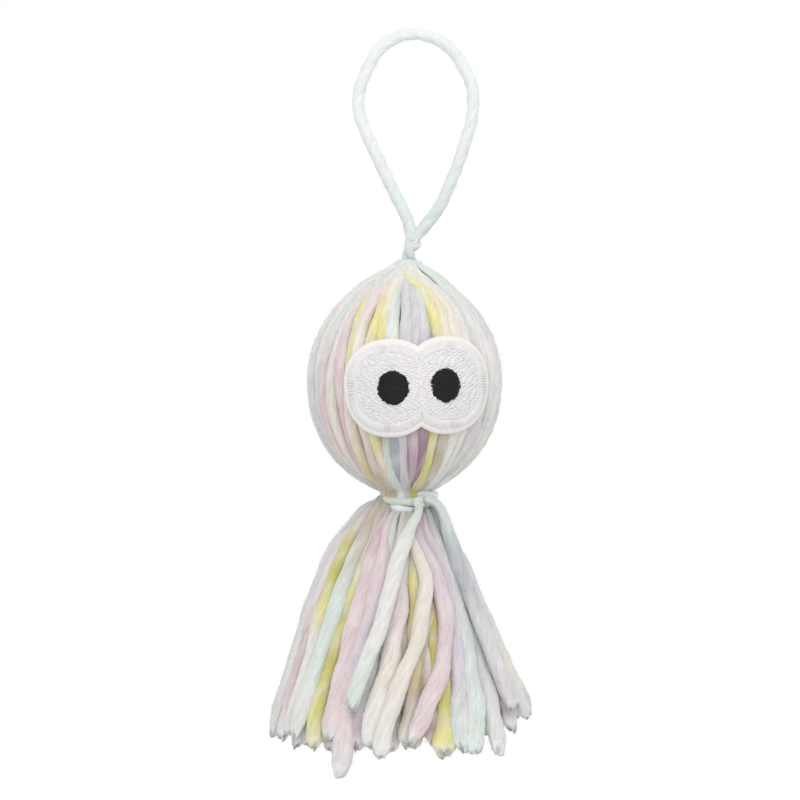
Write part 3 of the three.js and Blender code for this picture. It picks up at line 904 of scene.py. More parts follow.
@dataclass(frozen=True)
class HeadForm:
    """The outside of the head: an egg that is a little pointed at the crown."""

    radius: float = 26.1
    level: float = -90.7
    crown_height: float = 32.2
    chin_depth: float = 30.2
    crown_power: float = 0.7
    chin_power: float = 0.5
    crown_level: float = -59.4
    crown_collar: float = 1.3
    collar_share: float = 0.8
    crown_clear: float = 3.0
    aside: float = -1.0
    crown_ease: float = 8.0
    neck_ease: float = 4.0
    neck_radius: float = 6.9
    neck_top: float = -120.04
    neck_bottom: float = -125.64
    samples: int = 200

    def radius_at(self, level: np.ndarray) -> np.ndarray:
        """Gives the outside radius.

        Args:
            level: heights.

        Returns:
            The radii there.
        """
        level = np.asarray(level, float)
        above = level > self.level
        share = np.abs(level - self.level) / np.where(above, self.crown_height, self.chin_depth)
        swell = np.maximum(1 - share * share, 0.0) ** np.where(above, self.crown_power, self.chin_power)
        return np.where(above, self.radius * swell, np.maximum(self.radius * swell, self.neck_radius))

    def meridian(self, count: int) -> tuple[np.ndarray, np.ndarray]:
        """Runs down the outside from the crown through the neck.

        Args:
            count: number of evenly spaced places.

        Returns:
            The radii and the levels.
        """
        turn = np.linspace(0, math.pi, self.samples)
        middle = (self.crown_level + self.neck_top) / 2
        levels = middle + (self.crown_level - self.neck_top) / 2 * np.cos(turn)
        levels = np.concatenate([[self.crown_level + self.crown_collar], levels, [self.neck_bottom]])
        radii = self.radius_at(levels)
        radii[0] = self.collar_share * radii[1]
        line = spaced(np.stack([radii, np.zeros(len(levels)), levels], axis=1), count)
        return line[:, 0], line[:, 2]

    def shift(self, level: np.ndarray) -> np.ndarray:
        """Gives how far the ball pushes the yarn to the side.

        Args:
            level: heights.

        Returns:
            Vectors, one to a row.
        """
        level = np.asarray(level, float)
        push = self.aside * smooth(self.crown_level, self.crown_level - self.crown_ease, level)
        push = push * smooth(self.neck_bottom, self.neck_top + self.neck_ease, level)
        return push[..., None] * np.array([1.0, 0.0, 0.0])


@dataclass(frozen=True)
class HeadYarn:
    """The strands that run from the crown over the ball into the neck."""

    form: HeadForm
    samples: int = 90
    overlap: float = 1.15
    fullness: Span = (0.95, 1.3)
    thickness: float = 2.2
    end_thickness: float = 0.8
    end_width: float = 1.5
    tuck: float = 1.3
    tuck_order: tuple[float, ...] = (0.0, 1.0, 0.5)
    tuck_narrowing: float = 0.4
    crossing_depth: float = -0.4
    unevenness: Span = (-0.2, 0.6)
    wander: float = 2.2
    wander_waves: Span = (0.8, 1.6)
    crown_crowding: Span = (0.0, 0.3)
    neck_crowding: Span = (0.72, 0.98)
    mint_share: float = 0.05
    dye_places: tuple[float, ...] = (0.12, 0.33, 0.62, 0.86)

    def crossings(self) -> dict[int, float]:
        """Gives the strands that cross others at the crown, with the degrees that each starts aside."""
        return {-6: 20.0, -2: 25.0, -1: 12.0, 1: 8.0, 6: -20.0, 7: -50.0, 8: -62.0, 9: -40.0, 12: -25.0}

    def front_dyes(self) -> dict[int, DyeStops]:
        """Gives the dyes of the strands that the front shows, counted round from the front lock's left.

        Returns:
            Dyes from the crown to the neck, by strand.
        """
        # The tan, slate, sage and plum towards the neck are painted shade under the chin.
        rows = {
            -9: (WHITE, GREY, WHITE, GREY),
            -8: (MINT, WHITE, LILAC, WHITE),
            -7: (WHITE, GREY, GREY, CREAM),
            -6: (WHITE, WHITE, GREY, GREY),
            -5: (MINT, GREY, ROSE, CREAM),
            -4: (WHITE, WHITE, CREAM, GREY),
            -3: (MINT, PINK, ROSE, PEACH),
            -2: (WHITE, YELLOW, CREAM, OCHRE),
            -1: (PINK, CREAM, CREAM, SHADE_TAN),
            0: (PEACH, YELLOW, YELLOW, PEACH),
            1: (CREAM, YELLOW, SAGE, MINT),
            2: (MINT, WHITE, SHADE_SLATE, SHADE_SLATE),
            3: (GREY, GREY, LILAC, LILAC),
            4: (GREY, LILAC, MAUVE, MAUVE),
            5: (MINT, LILAC, SHADE_PLUM, SHADE_PLUM),
            6: (CREAM, YELLOW, YELLOW, OLIVE),
            7: (YELLOW, CREAM, SHADE_TAN, SHADE_TAN),
            8: (CREAM, CREAM, CREAM, MINT),
            9: (CREAM, WHITE, WHITE, MINT),
            10: (MINT, GREY, LILAC, CREAM),
            11: (WHITE, WHITE, LILAC, GREY),
            12: (MINT, WHITE, GREY, WHITE),
            13: (WHITE, LILAC, WHITE, MINT),
            14: (WHITE, GREY, CREAM, GREY),
        }
        start = (self.mint_share, MINT)
        return {strand: [start, *zip(self.dye_places, dyes)] for strand, dyes in rows.items()}

    @staticmethod
    def from_front(index: int) -> int:
        """Counts a strand from the front lock's left, backwards on the toy's left side."""
        return index if index < STRANDS / 2 else index - STRANDS

    def build(self, spinner: Spinner, material: bpy.types.Material) -> None:
        """Makes one piece of six strands for each lock.

        Args:
            spinner: lays the yarn.
            material: finish of the yarn.
        """
        front = self.front_dyes()
        for lock in range(LOCKS):
            meshes = []
            for index in range(lock * STRANDS_PER_LOCK, (lock + 1) * STRANDS_PER_LOCK):
                dyes = front.get(self.from_front(index)) or back_dyes(index)
                strand = self.strand(index, dyes, spinner.rng)
                meshes.append(spinner.lay(HEAD_YARNS[index % len(HEAD_YARNS)], strand))
            piece = join(f"head_strands_{lock + 1}", meshes, material)
            settle(piece, "head", "head_yarn", f"head_yarn_{lock + 1}")

    def strand(self, index: int, dyes: DyeStops, rng: np.random.Generator) -> Strand:
        """Lays one strand down the outside of the head. At the crown and neck some lie under others.

        Args:
            index: its place, counted from the left side of the front lock.
            dyes: its colours.
            rng: random draws.

        Returns:
            The strand.
        """
        spacing = 360 / STRANDS
        first = FRONT_LOCK_AZIMUTH - 180 / LOCKS + spacing / 2
        radius, level = self.form.meridian(self.samples)
        share = np.linspace(0, 1, self.samples)
        top, bottom = 1 - smooth(*self.crown_crowding, share), smooth(*self.neck_crowding, share)
        crowded = top + bottom
        lean = self.crossings().get(self.from_front(index), 0.0)
        depth = self.crossing_depth if lean else self.tuck_order[index % len(self.tuck_order)]
        spread = np.pi * radius / STRANDS * self.overlap * rng.uniform(*self.fullness)
        width = np.maximum(spread, self.end_width * (1 - self.tuck_narrowing * depth))
        height = self.thickness + (self.end_thickness - self.thickness) * crowded
        sink = height + depth * self.tuck * crowded + rng.uniform(*self.unevenness) * (1 - crowded)
        slope_radius, slope_level = np.gradient(radius), np.gradient(level)
        slope = np.hypot(slope_radius, slope_level)
        normal_radius, normal_level = -slope_level / slope, slope_radius / slope
        wave = np.sin(TURN * (share * rng.uniform(*self.wander_waves) + rng.uniform()))
        azimuth = first + index * spacing + self.wander * wave * (1 - crowded) + lean * top**2
        middle = np.maximum(radius - normal_radius * sink, self.form.crown_clear)
        route = around(azimuth, middle, level - normal_level * sink) + self.form.shift(level)
        outward = around(azimuth, normal_radius, normal_level)
        return Strand(route, outward, width, height, dyes, rng.uniform(*ANY_TURN))


@dataclass(frozen=True)
class FrontStrand:
    """One strand of the skirt's front, with how far sideways it lies at the skirt's levels and its hem."""

    lock: int
    sideways: tuple[float, ...]
    hem: float
    lift: float
    dyes: tuple[Dye, ...]


@dataclass(frozen=True)
class Skirt:
    """The loose strands below the neck, in eight locks."""

    top: float = -125.94
    length: float = 61.0
    root_radius: float = 5.2
    root_rise: float = 2.0
    root_gather: float = 0.75
    hem_radius_left: float = 37.4
    hem_radius_right: float = 36.7
    shoulder_left: float = 11.0
    shoulder_right: float = 4.7
    shoulder_drop: float = 2.5
    shoulder_place: float = 0.5
    shoulder_gather: float = 0.3
    shoulder_level: float = 0.8
    aside_span: Span = (2.8, 6.4)
    puff: float = 4.8
    puff_span: Span = (25.0, 60.0)
    puff_drop: float = 1.9
    puff_depth: float = 2.5
    flare_start: float = 1.0
    flare_left: float = 0.8
    flare_right: float = 1.12
    hem_rise: float = 8.5
    hem_rise_power: int = 6
    hem_scatter: float = 4.0
    hem_trim: float = 1.0
    lock_spread: float = 18.5
    yarn_radius: float = 2.5
    yarn_fullness: Span = (0.74, 1.0)
    yarn_widening: float = 1.08
    yarn_flattening: float = 0.84
    root_share: float = 0.4
    root_span: Span = (0.04, 0.4)
    lump: float = 0.06
    lump_waves: Span = (18.0, 30.0)
    bloom: float = 0.28
    bloom_span: Span = (0.6, 1.0)
    kink: float = 0.22
    kink_waves: Span = (24.0, 40.0)
    kink_span: Span = (0.1, 0.4)
    ring_root: float = 0.8
    loose_drops: Span = (2.0, 20.0)
    swing: Span = (1.0, 3.0)
    swing_length: Span = (9.0, 16.0)
    unevenness: Span = (-0.8, 0.8)
    fitting_rounds: int = 4
    samples: int = 80
    bend_above: float = 1.0
    bend_below: float = 7.0
    side_span: Span = (45.0, 115.0)
    levels: tuple[float, ...] = (-125.0, -131.0, -143.7, -159.7, -175.7)
    drops: tuple[float, ...] = (-2.0, 1.0, 1.7, 2.8, 4.5, 8.0, 14.0, 22.0, 32.0, 43.0)

    def flare(self, azimuth: np.ndarray, level: np.ndarray) -> np.ndarray:
        """Gives the radius of the outermost strands' middles.

        Args:
            azimuth: degrees from the front to the right.
            level: heights.

        Returns:
            The radii there.
        """
        rightness = (1 + np.sin(np.radians(azimuth))) / 2
        hem = self.hem_radius_left + (self.hem_radius_right - self.hem_radius_left) * rightness
        shoulder = self.shoulder_left + (self.shoulder_right - self.shoulder_left) * rightness
        power = self.flare_left + (self.flare_right - self.flare_left) * rightness
        drop = np.maximum(self.top - self.flare_start - np.asarray(level, float), 0.0)
        swell = shoulder * (1 - np.exp(-drop / self.shoulder_drop))
        spread = hem - self.root_radius - shoulder
        return self.root_radius + swell + spread * (drop / self.length) ** power

    def front_strands(self) -> list[FrontStrand]:
        """Gives the strands that the front shows, from left to right.

        Returns:
            The strands, as they lie in the photograph.
        """
        long_olive = (PINK, PINK, PINK, OLIVE, OLIVE, YELLOW, WHITE, WHITE, WHITE, GREY)
        # The tan and slate near the strands' tops, and some greys there, are painted shade under the head
        # and in the hollows between strands.
        rows = (
            (8, (-7.2, -15.8, -21.8, -26.9, -31.2, -33.2), -185.5, 0, (MINT, PINK, WHITE, ROSE, WHITE)),
            (8, (-6.6, -14.4, -19.9, -24.8, -28.9, -31.3), -184.0, 0.3, long_olive),
            (8, (-5.8, -11.4, -16.9, -22.2, -27.6, -29.6), -185.0, 1, (GREY, SHADE_TAN, MINT, MINT, WHITE)),
            (8, (-5.0, -9.5, -13.6, -18.8, -23.4, -25.0), -187.2, -1, (SHADE_TAN, GREY, YELLOW, OLIVE, YELLOW)),
            (8, (-4.2, -8.1, -11.2, -15.5, -18.8, -20.7), -184.8, 0.5, (SHADE_TAN, ROSE, PINK, PINK, PINK)),
            (8, (-3.2, -6.3, -8.0, -12.4, -16.4, -17.7), -194.0, 0, (GREY, PINK, LILAC, PINK, GREY)),
            (1, (-2.2, -4.6, -6.6, -8.9, -12.4, -13.5), -187.0, -1.5, (GREY, MINT, MINT, GREY, MAUVE)),
            (1, (-0.8, -1.7, -2.5, -3.9, -8.1, -9.7), -186.0, 0, (SHADE_TAN, GREY, PINK, CREAM, WHITE)),
            (1, (0.0, -1.2, -1.2, -2.3, -4.4, -4.4), -187.5, -3, (SHADE_TAN, PINK, WHITE, SHADE_TAN, CREAM)),
            (1, (0.6, -0.2, 1.7, 1.6, 0.6, -0.1), -186.0, -0.9, (GREY, SHADE_TAN, YELLOW, OCHRE, SHADE_TAN, CREAM)),
            (1, (0.8, 0.1, 4.4, 1.7, -4.7, -7.6), -188.6, 2, (SHADE_TAN, CREAM, CREAM, CREAM, WHITE)),
            (1, (1.8, 2.0, 7.9, 9.7, 4.7, 0.1), -184.5, 1.5, (MAUVE, LILAC, PINK, PINK, PINK)),
            (1, (2.5, 3.1, 5.7, 6.8, 9.2, 9.5), -188.6, -2, (GREY, OCHRE, OCHRE, OLIVE, YELLOW)),
            (2, (3.0, 4.9, 10.0, 12.4, 13.4, 14.0), -187.5, 0, (ROSE, LILAC, LILAC, LILAC, MINT)),
            (2, (4.0, 6.8, 11.2, 14.9, 17.2, 17.2), -188.0, 0.5, (SHADE_SLATE, GREY, GREY, MINT, MINT)),
            (2, (5.0, 8.4, 12.6, 17.6, 21.5, 23.3), -188.5, 0, (SHADE_SLATE, LILAC, GREY, GREY, WHITE)),
            (2, (6.0, 9.7, 14.2, 20.2, 25.5, 27.1), -183.0, 0, (MINT, SHADE_SLATE, GREY, CREAM, LILAC)),
            (2, (6.8, 10.6, 15.0, 23.0, 29.5, 31.6), -180.2, 0, (MINT, GREY, GREY, CREAM, GREY)),
        )
        return [FrontStrand(*row) for row in rows]

    def build(self, spinner: Spinner, material: bpy.types.Material) -> None:
        """Makes one piece for each lock.

        Args:
            spinner: lays the yarn.
            material: finish of the yarn.
        """
        front = self.front_strands()
        for lock in range(LOCKS):
            strands = [self.front_strand(plan, spinner.rng) for plan in front if plan.lock == lock + 1]
            strands += self.ring(lock, Layer.BEHIND if strands else Layer.OUTER, spinner.rng)
            meshes = []
            for index, strand in enumerate(strands):
                meshes.append(spinner.lay(SKIRT_YARNS[index % len(SKIRT_YARNS)], strand))
            for layer in (Layer.MIDDLE, Layer.INNER):
                hidden = self.ring(lock, layer, spinner.rng)
                meshes += [spinner.lay(HIDDEN_YARN, strand) for strand in hidden]
            piece = join(f"skirt_strands_{lock + 1}", meshes, material)
            self.hang(piece, f"lock_{lock + 1}")
            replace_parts(piece, f"skirt_lock_{lock + 1}")

    def hang(self, piece: bpy.types.Object, body: str) -> None:
        """Bakes the transform of a piece into its mesh."""
        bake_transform(piece)

    def front_strand(self, plan: FrontStrand, rng: np.random.Generator) -> Strand:
        """Lays a strand of the front: out of the neck, over its shoulder and down to its hem.

        Args:
            plan: how it lies.
            rng: random draws.

        Returns:
            The strand.
        """
        levels = np.array([*self.levels, plan.hem + self.hem_trim])
        sideways = np.array(plan.sideways)
        azimuth = np.zeros(len(levels))
        for _ in range(self.fitting_rounds):
            radius = self.flare(azimuth, levels) + plan.lift * smooth(0, 1, np.arange(len(levels)) / 2)
            azimuth = self.azimuth_at(sideways, radius)
        points = around(azimuth, radius, levels)
        gather = np.array([self.root_gather, self.root_gather, 1.0])
        root = points[0] * gather + np.array([0, 0, self.root_rise])
        aside = float(smooth(*self.aside_span, abs(sideways[0])))
        step = self.shoulder_place - self.shoulder_gather * aside
        shoulder_radius = radius[0] + (radius[1] - radius[0]) * step
        shoulder_side = sideways[0] + (sideways[1] - sideways[0]) * step
        turn = self.azimuth_at(shoulder_side, shoulder_radius)
        shoulder_level = self.top - self.shoulder_level + self.puff * aside
        shoulder = around(turn, shoulder_radius, shoulder_level)
        route = smooth_route(np.vstack([root, points[:1], shoulder, points[1:]]), self.samples)
        return self.strand(route, dye_run(*plan.dyes), rng)

    @staticmethod
    def azimuth_at(sideways: np.ndarray, radius: np.ndarray) -> np.ndarray:
        """Gives the degrees from the front of points that lie sideways at a radius."""
        widest = 0.995
        return np.degrees(np.arcsin(np.clip(sideways / radius, -widest, widest)))

    def ring(self, lock: int, layer: Layer, rng: np.random.Generator) -> list[Strand]:
        """Lays a lock's strands that no plan gives, side by side at one depth.

        Args:
            lock: the lock, counted from the front.
            layer: how deep they lie.
            rng: random draws.

        Returns:
            The strands.
        """
        strands = []
        lock_step, strand_step = 7, 3
        depth, count = layer.value
        spread = self.lock_spread * depth
        for offset in np.linspace(-spread, spread, count):
            middle = FRONT_LOCK_AZIMUTH + lock * 360 / LOCKS + offset
            to_side = abs((middle + 180) % 360 - 180)
            rightness = (1 + math.sin(math.radians(middle))) / 2
            rise = self.hem_rise * rightness**self.hem_rise_power
            cut = self.length - rise - rng.uniform(0, 1) * self.hem_scatter
            drop = np.array([*self.drops, cut])
            levels = self.top - drop
            loose = smooth(*self.loose_drops, drop)
            swing = rng.uniform(*self.swing)
            swing = swing * np.sin(drop / rng.uniform(*self.swing_length) + rng.uniform(*ANY_TURN))
            azimuth = middle + swing * loose
            radius = self.flare(azimuth, levels) * depth + rng.uniform(*self.unevenness) * loose
            radius[0] *= self.ring_root
            aside = smooth(*self.puff_span, to_side) * depth
            bulge = np.exp(-(((drop - self.puff_drop) / self.puff_depth) ** 2))
            levels = levels + self.puff * aside * bulge
            route = smooth_route(around(azimuth, radius, levels), self.samples)
            at_side = self.side_span[0] < to_side < self.side_span[1]
            index = len(strands)
            dyes = self.side_dyes(index) if at_side else back_dyes(lock * lock_step + index * strand_step)
            strands.append(self.strand(route, dyes, rng))
        return strands

    @staticmethod
    def side_dyes(index: int) -> DyeStops:
        """Gives the pale dyes of a strand at the skirt's left or right, by its place in the lock."""
        runs = ((MINT, WHITE, PINK, GREY), (GREY, LILAC, WHITE, GREY), (WHITE, GREY, MINT, WHITE))
        return dye_run(*runs[index % len(runs)])

    def strand(self, route: np.ndarray, dyes: DyeStops, rng: np.random.Generator) -> Strand:
        """Gives a strand of the skirt its thickness: pressed at the neck, full below, spread at its cut.

        Args:
            route: its points.
            dyes: its colours.
            rng: random draws.

        Returns:
            The strand.
        """
        share = np.linspace(0, 1, len(route))
        outward = outward_from_axis(route)
        across = np.cross(outward, (0.0, 0.0, 1.0))
        for side, kink in ((across, self.kink), (outward, 0.5 * self.kink)):
            waves = np.sin(share * rng.uniform(*self.kink_waves) + rng.uniform(*ANY_TURN))
            route = route + side * (kink * waves * smooth(*self.kink_span, share))[:, None]
        swell = self.root_share + (1 - self.root_share) * smooth(*self.root_span, share)
        lumps = 1 + self.lump * np.sin(share * rng.uniform(*self.lump_waves) + rng.uniform(*ANY_TURN))
        radius = self.yarn_radius * rng.uniform(*self.yarn_fullness) * swell * lumps
        width = radius * (self.yarn_widening + self.bloom * smooth(*self.bloom_span, share))
        return Strand(route, outward, width, radius * self.yarn_flattening, dyes, rng.uniform(*ANY_TURN))


@dataclass(frozen=True)
class NeckTie:
    """The thin winding round the neck, its knot and its two tails."""

    skirt: Skirt
    diameter: float = 1.6
    pitch: float = 2.1
    turns: float = 2.0
    radius: float = 7.2
    top: float = -120.74
    turn_overlap: float = 0.53
    winding_samples: int = 220
    knot_azimuth: float = 18.0
    knot_radius: float = 9.0
    knot_level: float = -123.0
    knot_reach: float = 1.8
    knot_thickness: float = 1.6
    tail_radius: float = 2.05
    tail_root: float = 0.5
    tail_full: float = 0.3
    tail_widening: float = 1.06
    tail_flattening: float = 0.94

    def build(self, spinner: Spinner, material: bpy.types.Material) -> None:
        """Makes the tails, the winding and the knot.

        Args:
            spinner: lays the yarn.
            material: finish of the yarn.
        """
        # The slate near the right tail's top is painted shade under the head.
        left_dyes, right_dyes = dye_run(MINT, WHITE, WHITE, MINT), dye_run(MINT, SHADE_SLATE, GREY, LILAC)
        self.tail(spinner, material, "tie_tail_left", self.left_route(), left_dyes, "lock_1")
        self.tail(spinner, material, "tie_tail_right", self.right_route(), right_dyes, "lock_2")
        winding = join("neck_winding", [self.winding(spinner)], material)
        settle(winding, "head", "tie_yarn", "neck_tie")
        knot = join("tie_knot_yarn", [self.knot(spinner)], material)
        settle(knot, "head", "tie_yarn", "tie_knot")

    def left_route(self) -> np.ndarray:
        """Gives the left tail's route from the knot down over the skirt.

        Returns:
            Points of the tail.
        """
        points = [
            (3.0, -9.4, -123.6), (2.3, -12.2, -126.0), (0.9, -15.2, -128.8), (-0.6, -18.0, -132.0),
            (-1.9, -20.2, -135.2), (-3.0, -22.2, -138.6), (-4.0, -24.1, -142.2), (-5.0, -25.8, -146.0),
            (-6.0, -27.4, -150.0), (-7.2, -28.8, -154.0), (-8.6, -30.0, -158.0), (-10.2, -31.1, -162.0),
            (-12.0, -32.0, -166.2), (-13.6, -32.8, -170.6), (-14.6, -33.4, -175.6),
        ]
        return smooth_route(points, self.skirt.samples)

    def right_route(self) -> np.ndarray:
        """Gives the right tail's route from the knot down over the skirt.

        Returns:
            Points of the tail.
        """
        points = [
            (4.0, -9.0, -121.9), (6.3, -8.6, -122.3), (8.4, -8.6, -124.4), (9.7, -9.6, -127.6),
            (10.8, -10.9, -131.4), (12.0, -12.4, -135.4), (13.4, -13.9, -139.6), (14.9, -15.3, -143.8),
            (16.5, -16.6, -148.0), (18.1, -17.8, -152.2), (19.8, -18.9, -156.6), (21.5, -19.9, -161.2),
            (23.3, -20.8, -166.0), (25.2, -21.6, -171.0), (27.0, -22.2, -176.4),
        ]
        return smooth_route(points, self.skirt.samples)

    def tail(
        self,
        spinner: Spinner,
        material: bpy.types.Material,
        node: str,
        route: np.ndarray,
        dyes: DyeStops,
        body: str,
    ) -> None:
        """Makes one tail, thin at the knot.

        Args:
            spinner: lays the yarn.
            material: finish of the yarn.
            node: CAD node of the tail.
            route: its points.
            dyes: its colours.
            body: the lock's body, which is not used.
        """
        stock = YarnStock("tail_yarn", length=56, radius=self.tail_radius, turns=1.5)
        share = np.linspace(0, 1, len(route))
        swell = self.tail_root + (1 - self.tail_root) * smooth(0.0, self.tail_full, share)
        even = self.tail_radius * swell
        width, height = even * self.tail_widening, even * self.tail_flattening
        strand = Strand(route, outward_from_axis(route), width, height, dyes)
        tail = join(node + "_yarn", [spinner.lay(stock, strand)], material)
        self.skirt.hang(tail, body)
        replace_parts(tail, node)

    def winding(self, spinner: Spinner) -> bpy.types.Mesh:
        """Winds the yarn round the neck, pressed flat and turn on turn.

        Args:
            spinner: lays the yarn.

        Returns:
            The mesh of the winding.
        """
        share = np.linspace(0, 1, self.winding_samples)
        azimuth = self.knot_azimuth + 360 * self.turns * share
        route = around(azimuth, self.radius, self.top - self.pitch * self.turns * share)
        tall = np.full(len(share), self.pitch * self.turn_overlap)
        flat = np.full(len(share), self.diameter / 2)
        strand = Strand(route, outward_from_axis(route), tall, flat, dye_run(ICE, MINT, ICE))
        return spinner.lay(TIE_CORD, strand)

    def knot(self, spinner: Spinner) -> bpy.types.Mesh:
        """Ties the knot at the front right, facing outwards.

        Args:
            spinner: lays the yarn.

        Returns:
            The mesh of the knot.
        """
        across, inward, level = overhand_knot(self.knot_reach, self.knot_thickness).T
        across, inward = turned(across, inward, math.radians(self.knot_azimuth))
        place = around(self.knot_azimuth, self.knot_radius, self.knot_level)
        route = np.stack([across, inward, level], axis=1) + place
        strand = round_strand(route, self.knot_thickness / 2, dye_run(WHITE, MINT))
        return spinner.lay(TIE_KNOT_CORD, strand)


@dataclass(frozen=True)
class EyePatch:
    """The felt patch of two lobes, with its satin border, white eyes and black pupils."""

    form: HeadForm
    turn: float = 8.7
    tilt: float = 3.0
    level: float = -92.2
    gap: float = 0.3
    felt_thickness: float = 1.5
    lobe_half_width: float = 13.0
    lobe_half_height: float = 12.9
    lobe_offset: float = 7.5
    lobe_power: float = 2.5
    inner_power: float = 2.0
    rim_inset: float = 1.2
    rim_width: float = 2.6
    rim_arch: float = 0.38
    rim_pitch: float = 1.7
    shortest_rim_stitch: float = 0.4
    fill_arch: float = 0.28
    fill_pitch: float = 1.5
    fill_stitch: float = 2.0
    fill_stretch: Span = (0.7, 1.2)
    fill_slant: Span = (0.12, 0.14)
    fill_margin: Span = (0.3, 0.2)
    fill_crossing: float = 0.8
    shortest_fill_stitch: float = 0.5
    pupil_offset_left: float = 6.85
    pupil_offset_right: float = 6.45
    pupil_half_width: float = 3.85
    pupil_half_height: float = 4.3
    pupil_power: float = 2.2
    pupil_lift: float = 0.3
    pupil_arch: float = 0.4
    pupil_pitch: float = 1.3
    pupil_ragged: Span = (-0.2, 0.3)
    pupil_slant: float = 0.12
    pupil_tip: float = 0.06
    thread_radius: float = 0.24
    thread_unevenness: Span = (0.9, 1.1)
    short_stitch_rise: Span = (0.4, 0.1)
    arch_power: int = 4
    outline_sides: int = 96
    outline_samples: int = 361
    halvings: int = 30
    seam_slack: float = 0.01
    seed: int = 11

    def on_face(self, sideways: np.ndarray, upwards: np.ndarray, lift: np.ndarray) -> np.ndarray:
        """Puts points of the flat patch on the head.

        Args:
            sideways: along the patch.
            upwards: up the patch.
            lift: out from the yarn.

        Returns:
            The points, one to a row.
        """
        across, up = turned(sideways, upwards, math.radians(self.tilt))
        face_radius = float(self.form.radius_at(self.level)) + self.gap
        level = self.level + up
        azimuth = self.turn + np.degrees(across / face_radius)
        return around(azimuth, self.form.radius_at(level) + self.gap + lift, level) + self.form.shift(level)

    def lobe_reach(self, angle: np.ndarray, offset: float) -> np.ndarray:
        """Measures from the patch's middle to the edge of one lobe, by halving.

        Args:
            angle: directions from the middle.
            offset: sideways place of the lobe's middle.

        Returns:
            The distances.
        """
        wide, high = self.lobe_half_width, self.lobe_half_height
        near, far = np.zeros_like(angle), np.full_like(angle, abs(offset) + wide + high)
        for _ in range(self.halvings):
            reach = (near + far) / 2
            across = (reach * np.cos(angle) - offset) / wide
            up = np.abs(reach * np.sin(angle) / high)
            power = np.where(across * offset > 0, self.lobe_power, self.inner_power)
            outside = np.abs(across) ** power + up**power > 1
            near, far = np.where(outside, near, reach), np.where(outside, reach, far)
        return reach

    def outline(self, angle: np.ndarray) -> np.ndarray:
        """Measures from the patch's middle to the felt's edge, in given directions."""
        left = self.lobe_reach(angle, -self.lobe_offset)
        return np.maximum(left, self.lobe_reach(angle, self.lobe_offset))

    def build(self, felt: bpy.types.Material, white: bpy.types.Material, black: bpy.types.Material) -> None:
        """Makes the felt and all its stitches.

        Args:
            felt: finish of the felt.
            white: finish of the white thread.
            black: finish of the black thread.
        """
        self.felt_piece(felt)
        rng = np.random.default_rng(self.seed)
        base = self.felt_thickness
        rim = self.stitches("eye_border_stitches", self.rim_stitches(), base, self.rim_arch, white, rng)
        settle(rim, "head", "white_stitching", "eye_rim")
        for side, word in ((-1, "left"), (1, "right")):
            rows = self.fill_stitches(side, rng)
            fill = self.stitches(f"eye_fill_stitches_{word}", rows, base, self.fill_arch, white, rng)
            settle(fill, "head", "white_stitching", f"eye_fill_{word}")
            rows = self.pupil_stitches(side, rng)
            lift = base + self.pupil_lift
            pupil = self.stitches(f"pupil_stitches_{word}", rows, lift, self.pupil_arch, black, rng)
            settle(pupil, "head", "black_stitching", f"eye_pupil_{word}")

    def felt_piece(self, material: bpy.types.Material) -> None:
        """Makes the felt: a disc drawn inward from its rounded edge, then laid on the head.

        Args:
            material: finish of the felt.
        """
        bm = bmesh.new()
        rim = bmesh.ops.create_circle(bm, segments=self.outline_sides, radius=1.0)
        bmesh.ops.translate(bm, verts=rim["verts"], vec=(0, 0, 0.5))
        rim_edges = bm.edges[:]
        top = ((0.985, 0.9), (0.95, 1.0), (0.8, 1.0), (0.6, 1.0), (0.35, 1.0), (0.12, 1.0))
        bottom = ((0.985, 0.1), (0.95, 0.0), (0.6, 0.0), (0.2, 0.0))
        for rings in (top, bottom):
            edges, share, height = rim_edges, 1.0, 0.5
            for next_share, next_height in rings:
                drawn = bmesh.ops.extrude_edge_only(bm, edges=edges)["geom"]
                verts = [item for item in drawn if isinstance(item, bmesh.types.BMVert)]
                edges = [item for item in drawn if isinstance(item, bmesh.types.BMEdge)]
                bmesh.ops.scale(bm, verts=verts, vec=(next_share / share, next_share / share, 1))
                bmesh.ops.translate(bm, verts=verts, vec=(0, 0, next_height - height))
                share, height = next_share, next_height
            bmesh.ops.contextual_create(bm, geom=edges)
        mesh = written(bm, "felt_disc")
        disc = corners(mesh)
        angle = np.arctan2(disc[:, 1], disc[:, 0])
        reach = np.hypot(disc[:, 0], disc[:, 1]) * self.outline(angle)
        lift = disc[:, 2] * self.felt_thickness
        move_corners(mesh, self.on_face(reach * np.cos(angle), reach * np.sin(angle), lift))
        patch = settle(join("eye_felt_patch", [mesh], material), "head", "felt", "eye_felt")
        width, height = 2 * (self.lobe_half_width + self.lobe_offset), 2 * self.lobe_half_height

